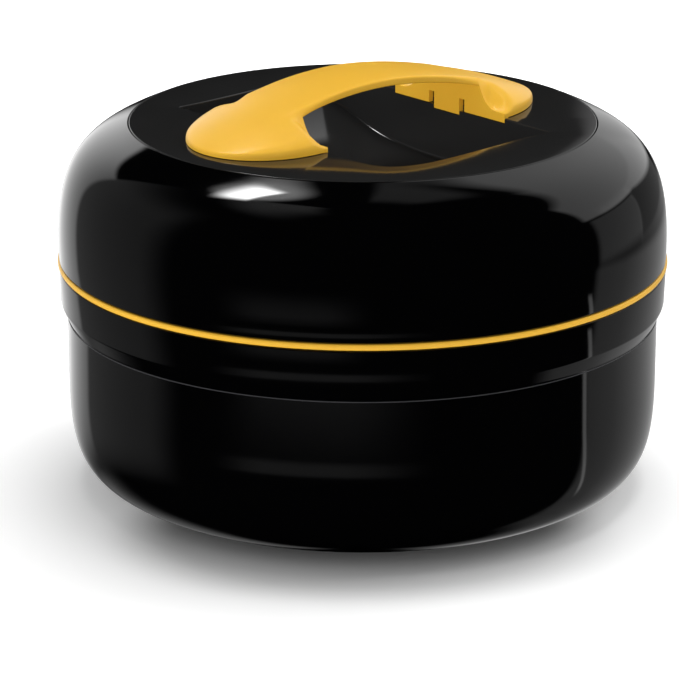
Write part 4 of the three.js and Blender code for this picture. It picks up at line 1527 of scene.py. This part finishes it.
@dataclass
class Dish:
    """A dish with its lid and seal."""

    fit: Fit
    name: str
    plan: Plan
    level: float
    height: float
    corner: float
    wall: float = 1.8
    lid_wall: float = 1.6
    lid_skirt: float = 5.0
    lid_ridge: float = 4.0
    seal_height: float = 1.6
    split: float = 2.0
    plan_corner: float = 16.0
    panel_inset: float = 9.0
    panel_depth: float = 0.5

    @property
    def inset(self) -> float:
        """How far the dish's wall stands inside its lid's skirt."""
        return self.lid_wall + self.fit.seat_gap

    def ring(self, inset: float, height: float) -> list[Spot]:
        """The dish's outline drawn in by an inset, at a height over its base.

        Args:
            inset: How far the outline is drawn in.
            height: Height over the dish's base.

        Returns:
            The points.
        """
        radius, z = self.fit.dish_radius, self.level + height
        if self.plan is Plan.ROUND:
            return [(x, y, z) for x, y in arc((0, 0), radius - inset, 0, 360, 192)[:-1]]
        corner_y = self.split / 2 + self.plan_corner
        corner_x = sqrt((radius - self.plan_corner) ** 2 - corner_y ** 2)
        meet = degrees(atan2(corner_y, corner_x))
        corner = self.plan_corner - inset
        straight = [(between(-corner_x, corner_x, i / 24), self.split / 2 + inset) for i in range(1, 24)]
        line = [
            *arc((corner_x, corner_y), corner, -90, meet, 16),
            *arc((0, 0), radius - inset, meet, 180 - meet, 96)[1:-1],
            *arc((-corner_x, corner_y), corner, 180 - meet, 270, 16), *straight,
        ]
        sign = 1 if self.plan is Plan.LEFT else -1
        return [(sign * x, sign * y, z) for x, y in line]

    def profile(self, name: str, line: Line, looped: bool = False) -> Piece:
        """A piece whose section, as (inset, height), runs round the dish's outline."""
        return loft(name, [self.ring(inset, height) for inset, height in line], looped)

    def bowl(self) -> Piece:
        """The dish itself, with a round foot and a soft rim.

        Returns:
            The piece.
        """
        c, w = self.corner, self.wall
        line = [
            *arc((c, c), c, -90, -180, 16), (0, self.height, 0.7), (w, self.height, 0.7),
            *arc((c, c), c - w, -180, -90, 16),
        ]
        return self.profile(f"{self.name}_tub", [(self.inset + x, z) for x, z in rounded(line, closed=False)])

    def lid(self) -> Piece:
        """The dish's lid: sunk panel, skirt outside the wall and ridge inside it.

        Returns:
            The piece.
        """
        top = self.height + self.seal_height + 2 * self.fit.seat_gap + self.lid_wall
        ceiling = top - self.lid_wall
        outer = self.inset + self.wall + self.fit.seat_gap
        inner, edge = outer + self.lid_wall, self.panel_inset
        ridge, skirt = self.height - self.lid_ridge, self.height - self.lid_skirt
        return self.profile(f"{self.name}_cover", rounded([
            (inner, ceiling), (inner, ridge, 0.5), (outer, ridge, 0.5), (outer, ceiling),
            (self.lid_wall, ceiling), (self.lid_wall, skirt, 0.5), (0, skirt, 0.5), (0, top, 1.1),
            (edge, top, 0.7), (edge + 0.8, top - self.panel_depth, 0.7), (edge + 3, top - self.panel_depth),
        ], closed=False))

    def gasket(self) -> Piece:
        """The seal in the lid's channel.

        Returns:
            The piece.
        """
        low = self.height + self.fit.seat_gap
        high, near, far = low + self.seal_height, self.inset, self.inset + self.wall
        return self.profile(f"{self.name}_gasket", rounded([
            (near, low, 0.3), (near, high, 0.3), (far, high, 0.3), (far, low, 0.3),
        ]), looped=True)

    def build(self) -> None:
        """Makes the dish, its lid and its seal, and puts them on their bodies."""
        settle(self.bowl(), Finishes.dish, self.name, self.name)
        settle(self.lid(), Finishes.dish_lid, f"{self.name}_lid", f"{self.name}_lid")
        settle(self.gasket(), Finishes.seal, f"{self.name}_lid", f"{self.name}_seal")


@dataclass
class Stack:
    """The round dish with the two half-moon dishes on it."""

    fit: Fit
    round_height: float = 46.0
    round_corner: float = 27.0
    half_corner: float = 12.0
    lid_rise: float = 3.8
    headroom: float = 6.0

    def build(self) -> None:
        """Makes the three dishes from the bowl's floor up."""
        fit = self.fit
        low = fit.floor_level + fit.seat_gap
        tall = low + self.round_height + self.lid_rise + fit.seat_gap
        half_height = fit.ceiling_level - self.headroom - self.lid_rise - tall
        Dish(fit, "round_dish", Plan.ROUND, low, self.round_height, self.round_corner).build()
        for name, plan in (("left_dish", Plan.LEFT), ("right_dish", Plan.RIGHT)):
            Dish(fit, name, plan, tall, half_height, self.half_corner).build()


@dataclass(frozen=True)
class Panel:
    """A soft glowing panel of the studio, given by the directions that it fills, in degrees.

    Across is measured round the box from the camera, to the picture's right, and up over the horizon. A slope
    tilts the lower or the upper edge, in degrees up for each degree across, and a lean tilts both sides. The
    fades say how wide the left, right, lower and upper edges dim.
    """

    left: float
    right: float
    low: float
    high: float
    glow: float
    fades: tuple[float, float, float, float]
    slope_low: float = 0.0
    slope_high: float = 0.0
    lean: float = 0.0
    edge: Edge = Edge.SOFT

    def wire(self, wires: Wiring, across: Socket, up: Socket, toward: Socket) -> Socket:
        """The panel's light as a socket, for the directions given.

        Args:
            wires: The wiring of the tent's material.
            across: The direction round the box, in degrees.
            up: The direction over the horizon, in degrees.
            toward: The direction as a unit vector; not used by a panel.

        Returns:
            The socket with the result.
        """
        along = across
        if self.lean:
            along = wires.math("MULTIPLY_ADD", wires.math("SUBTRACT", up, self.low), -self.lean, across)
        floor = roof = up
        if self.slope_low:
            floor = wires.math("MULTIPLY_ADD", wires.math("SUBTRACT", along, self.left), -self.slope_low, up)
        if self.slope_high:
            roof = wires.math("MULTIPLY_ADD", wires.math("SUBTRACT", along, self.left), -self.slope_high, up)
        left, right, low, high = self.fades
        sides = [
            wires.spread(along, (self.left, self.left + left), (0, 1), self.edge),
            wires.spread(along, (self.right - right, self.right), (1, 0), self.edge),
            wires.spread(floor, (self.low, self.low + low), (0, 1), self.edge),
            wires.spread(roof, (self.high - high, self.high), (1, 0), self.edge),
        ]
        shape = wires.math("MULTIPLY", wires.math("MULTIPLY", sides[0], sides[1]),
                           wires.math("MULTIPLY", sides[2], sides[3]))
        return wires.math("MULTIPLY", shape, self.glow)


@dataclass(frozen=True)
class Lamp:
    """A round glowing lamp of the studio, by the direction of its middle and its radius, in degrees."""

    across: float
    up: float
    radius: float
    glow: float
    fade: float = 1.0

    def wire(self, wires: Wiring, across: Socket, up: Socket, toward: Socket) -> Socket:
        """The lamp's light as a socket, for the directions given.

        Args:
            wires: The wiring of the tent's material.
            across: The direction round the box, in degrees; not used by a lamp.
            up: The direction over the horizon, in degrees; not used by a lamp.
            toward: The direction as a unit vector.

        Returns:
            The socket with the result.
        """
        turn, lift = radians(self.across), radians(self.up)
        middle = (cos(lift) * cos(turn), cos(lift) * sin(turn), sin(lift))
        near = wires.add("ShaderNodeVectorMath", {"operation": "DOT_PRODUCT"},
                         {0: toward, 1: middle}).outputs["Value"]
        off = wires.math("DEGREES", wires.math("ARCCOSINE", wires.math("MINIMUM", near, 1.0)))
        disc = wires.spread(off, (self.radius, self.radius + self.fade), (1, 0), Edge.SOFT)
        return wires.math("MULTIPLY", disc, self.glow)


@dataclass(frozen=True)
class SoftBox:
    """A square lamp that lights the box and shows in no reflection. Without a shadow it is a fill lamp."""

    name: str
    across: float
    up: float
    distance: float
    size: float
    power: float
    casts_shadow: bool = True

    def hang(self, bearing: float, middle: float) -> None:
        """Hangs the lamp.

        Args:
            bearing: Bearing of the camera, in degrees, from which the lamp's is counted.
            middle: Height that the lamp points at.
        """
        data = bpy.data.lights.new(self.name, "AREA")
        data.shape, data.size, data.energy = "SQUARE", self.size * MM, self.power
        data.use_shadow = self.casts_shadow
        made = bpy.data.objects.new(self.name, data)
        bpy.context.scene.collection.objects.link(made)
        turn, lift = radians(self.across + bearing), radians(self.up)
        away = Vector((cos(lift) * cos(turn), cos(lift) * sin(turn), sin(lift)))
        made.location = away * self.distance * MM + Vector((0, 0, middle * MM))
        made.rotation_mode = "QUATERNION"
        made.rotation_quaternion = (-away).to_track_quat("-Z", "Y")
        made.visible_camera = made.visible_glossy = False


@dataclass
class Studio:
    """Camera, pale floor with a painted shadow ahead of the box, plain soft lamps, and the dark tent with
    panels that the gloss shows.
    """

    camera_place: Spot = (-942.6, -1084.9, 524.0)
    camera_aim: Spot = (-13.7, -1.9, 61.1)
    lens: float = 194.58
    camera_bearing: float = -130.98
    tent_radius: float = 2600.0
    tent_middle: float = 90.0
    lamp_middle: float = 80.0
    floor_radius: float = 14000.0
    floor_drop: float = 0.3
    floor_colour: float = 0.95
    # Glow that lifts the floor to white round the box, held back in an ellipse ahead of it: a painted shadow
    # on top of the real one.
    glow_outside_painted_shadow: float = 0.25
    painted_shadow_ahead: float = 75.0
    painted_shadow_depth: float = 60.0
    painted_shadow_half_width: float = 85.0
    painted_shadow_edge: Point = (0.85, 1.3)
    far_edge: Point = (6.0, 14.0)
    far_lift: float = 0.8
    world_light: float = 0.46
    tent: tuple[Panel | Lamp, ...] = (
        Panel(-155, -119, 56, 66, 22, (7, 13, 6, 1.5)),
        Lamp(-144.0, 63.0, 5.0, 2.4, 5.0),
        Panel(-171, -130.5, -30, 29.5, 0.66, (5, 4, 14, 2.5)),
        Panel(-171, -134, -30, 29.5, 0.8, (5, 30, 14, 2.5), edge=Edge.EVEN),
        Panel(-134, -71, -32, 54, 0.17, (3, 20, 12, 26)),
        Panel(124, 162, -12, 20, 0.13, (3, 4, 3, 3)),
        Panel(92, 132, 17, 42, 0.82, (3, 4, 2, 6), slope_low=-0.14,
              slope_high=0.42, edge=Edge.EVEN),
        Panel(100, 130, 15, 26, 0.25, (8, 6, 2, 9), slope_low=-0.14,
              slope_high=-0.14),
        Panel(128, 173, 12, 56, 0.82, (4, 4, 3, 5), slope_low=-0.5,
              slope_high=0.2, edge=Edge.EVEN),
        Panel(94, 127, -12, 17, 0.29, (4, 2, 6, 2), slope_high=-0.14),
        Panel(92, 176, -50, -8, 0.26, (5, 4, 14, 3), slope_high=-0.06),
        Panel(112, 177, -50, -8, 0.34, (62, 3, 14, 3), edge=Edge.EVEN),
        Panel(103.5, 106.5, -40, -15.2, 0.85, (1, 1, 8, 1.2), lean=-0.55),
        Panel(-56, 6, -18, -3, 0.12, (22, 22, 4, 12)),
        Panel(-60, 30, -22.6, -19.8, 0.18, (25, 40, 0.8, 0.8)),
        Panel(-176, -112, -66, -24, 0.24, (6, 40, 14, 12)),
        Panel(88, 176, -66, -38, 0.2, (14, 6, 14, 10)),
        Panel(-128, -40, 58, 84, 0.32, (6, 70, 12, 6)),
        Panel(128, 178, 60, 80, 0.2, (20, 6, 6, 8)),
    )

    lamps: tuple[SoftBox, ...] = (
        SoftBox("overhead", 160, 80, 2000, 1200, 25),
        SoftBox("right_key", 112, 36, 2200, 1300, 11),
        SoftBox("left_fill", -78, -6, 2000, 900, 22, casts_shadow=False),
        SoftBox("front_fill", 15, -6, 2000, 900, 12, casts_shadow=False),
    )

    def camera(self) -> None:
        """Sets the camera where the photograph was taken from."""
        made = bpy.data.objects.new("camera", bpy.data.cameras.new("camera"))
        bpy.context.scene.collection.objects.link(made)
        made.data.sensor_fit, made.data.sensor_width = "HORIZONTAL", 36.0
        made.data.lens = self.lens
        made.data.clip_start, made.data.clip_end = 0.05, 50.0
        made.location = Vector(self.camera_place) * MM
        look = (Vector(self.camera_aim) - Vector(self.camera_place)).normalized()
        made.rotation_mode = "QUATERNION"
        made.rotation_quaternion = look.to_track_quat("-Z", "Y")
        bpy.context.scene.camera = made

    def world(self) -> None:
        """White to the camera and in mirrors and glass, and a dimmer even light on the box."""
        world = bpy.data.worlds.new("studio")
        bpy.context.scene.world = world
        world.use_nodes = True
        wires = Wiring(world.node_tree)
        level = wires.spread(wires.seen(), (0, 1), (self.world_light, 1.0))
        glow = wires.add("ShaderNodeBackground", None, {"Color": (1, 1, 1, 1), "Strength": level})
        wires.add("ShaderNodeOutputWorld", None, {"Surface": glow.outputs[0]})

    def floor(self) -> None:
        """A pale floor that keeps the box's real shadow, and glows to white for the camera away from it; the
        glow is held back in an ellipse ahead of the box, which paints a shadow there.
        """
        bpy.ops.mesh.primitive_circle_add(vertices=96, radius=self.floor_radius * MM, fill_type="NGON",
                                          rotation=(0, 0, radians(self.camera_bearing)),
                                          location=(0, 0, -self.floor_drop * MM))
        floor = bpy.context.object
        floor.name = "floor"
        made, wires = new_material("pale_floor_painted_shadow")
        matt = wires.add("ShaderNodeBsdfDiffuse", None, {"Color": (*(self.floor_colour,) * 3, 1)})
        place = wires.add("ShaderNodeTexCoord").outputs["Object"]
        # Ellipse ahead of the box where the glow is held back, painting the shape of the shadow in front of
        # it.
        away = wires.add("ShaderNodeVectorMath", {"operation": "SUBTRACT"},
                         {0: place, 1: (self.painted_shadow_ahead * MM, 0, 0)}).outputs[0]
        scaled = wires.add("ShaderNodeVectorMath", {"operation": "DIVIDE"},
                           {0: away, 1: (self.painted_shadow_depth * MM, self.painted_shadow_half_width * MM, 1)}).outputs[0]
        reach = wires.add("ShaderNodeVectorMath", {"operation": "LENGTH"}, {0: scaled}).outputs["Value"]
        rise = wires.math("MAXIMUM", wires.spread(reach, self.painted_shadow_edge, (0, self.glow_outside_painted_shadow), Edge.SOFT),
                          wires.spread(reach, self.far_edge, (0, self.far_lift), Edge.SOFT))
        lift = wires.add("ShaderNodeEmission", None, {
            "Color": (1, 1, 1, 1), "Strength": wires.math("MULTIPLY", wires.seen(), rise),
        })
        both = wires.add("ShaderNodeAddShader", None, {0: matt.outputs[0], 1: lift.outputs[0]})
        wires.add("ShaderNodeOutputMaterial", None, {"Surface": both.outputs[0]})
        floor.data.materials.append(made)
        floor.visible_glossy = False

    def surround(self) -> None:
        """The dark tent round the box, which only reflections show, as black card does in a studio."""
        bpy.ops.mesh.primitive_uv_sphere_add(segments=64, ring_count=32, radius=self.tent_radius * MM,
                                             rotation=(0, 0, radians(self.camera_bearing)),
                                             location=(0, 0, self.tent_middle * MM))
        tent = bpy.context.object
        tent.name = "tent"
        made, wires = new_material("tent_panels")
        place = wires.add("ShaderNodeTexCoord").outputs["Object"]
        toward = wires.add("ShaderNodeVectorMath", {"operation": "NORMALIZE"}, {0: place}).outputs[0]
        parts = wires.add("ShaderNodeSeparateXYZ", None, {0: toward})
        across = wires.math("DEGREES", wires.math("ARCTAN2", parts.outputs[1], parts.outputs[0]))
        up = wires.math("DEGREES", wires.math("ARCSINE", parts.outputs[2]))
        total: object = 0.0
        for light in self.tent:
            total = wires.math("ADD", light.wire(wires, across, up, toward), total)
        glow = wires.add("ShaderNodeEmission", None, {"Color": (1, 1, 1, 1), "Strength": total})
        wires.add("ShaderNodeOutputMaterial", None, {"Surface": glow.outputs[0]})
        tent.data.materials.append(made)
        for ray in ("camera", "diffuse", "transmission", "volume_scatter", "shadow"):
            setattr(tent, f"visible_{ray}", False)

    def build(self) -> None:
        """Sets up camera, floor, tent and lamps."""
        self.camera()
        self.world()
        self.floor()
        self.surround()
        for lamp in self.lamps:
            lamp.hang(self.camera_bearing, self.lamp_middle)
        bpy.context.scene.view_settings.view_transform = "Standard"


def main() -> None:
    """Builds the studio and every sub-assembly in order."""
    logging.basicConfig(level=logging.INFO, format="%(message)s")
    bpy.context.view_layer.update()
    fit = Fit()
    handle = Handle(fit)
    Studio().build()
    Bowl(fit).build()
    Rim(fit).build()
    Dome(fit).build()
    TopPlate(fit, handle).build()
    handle.build()
    Stack(fit).build()


if __name__ == "__main__":
    main()
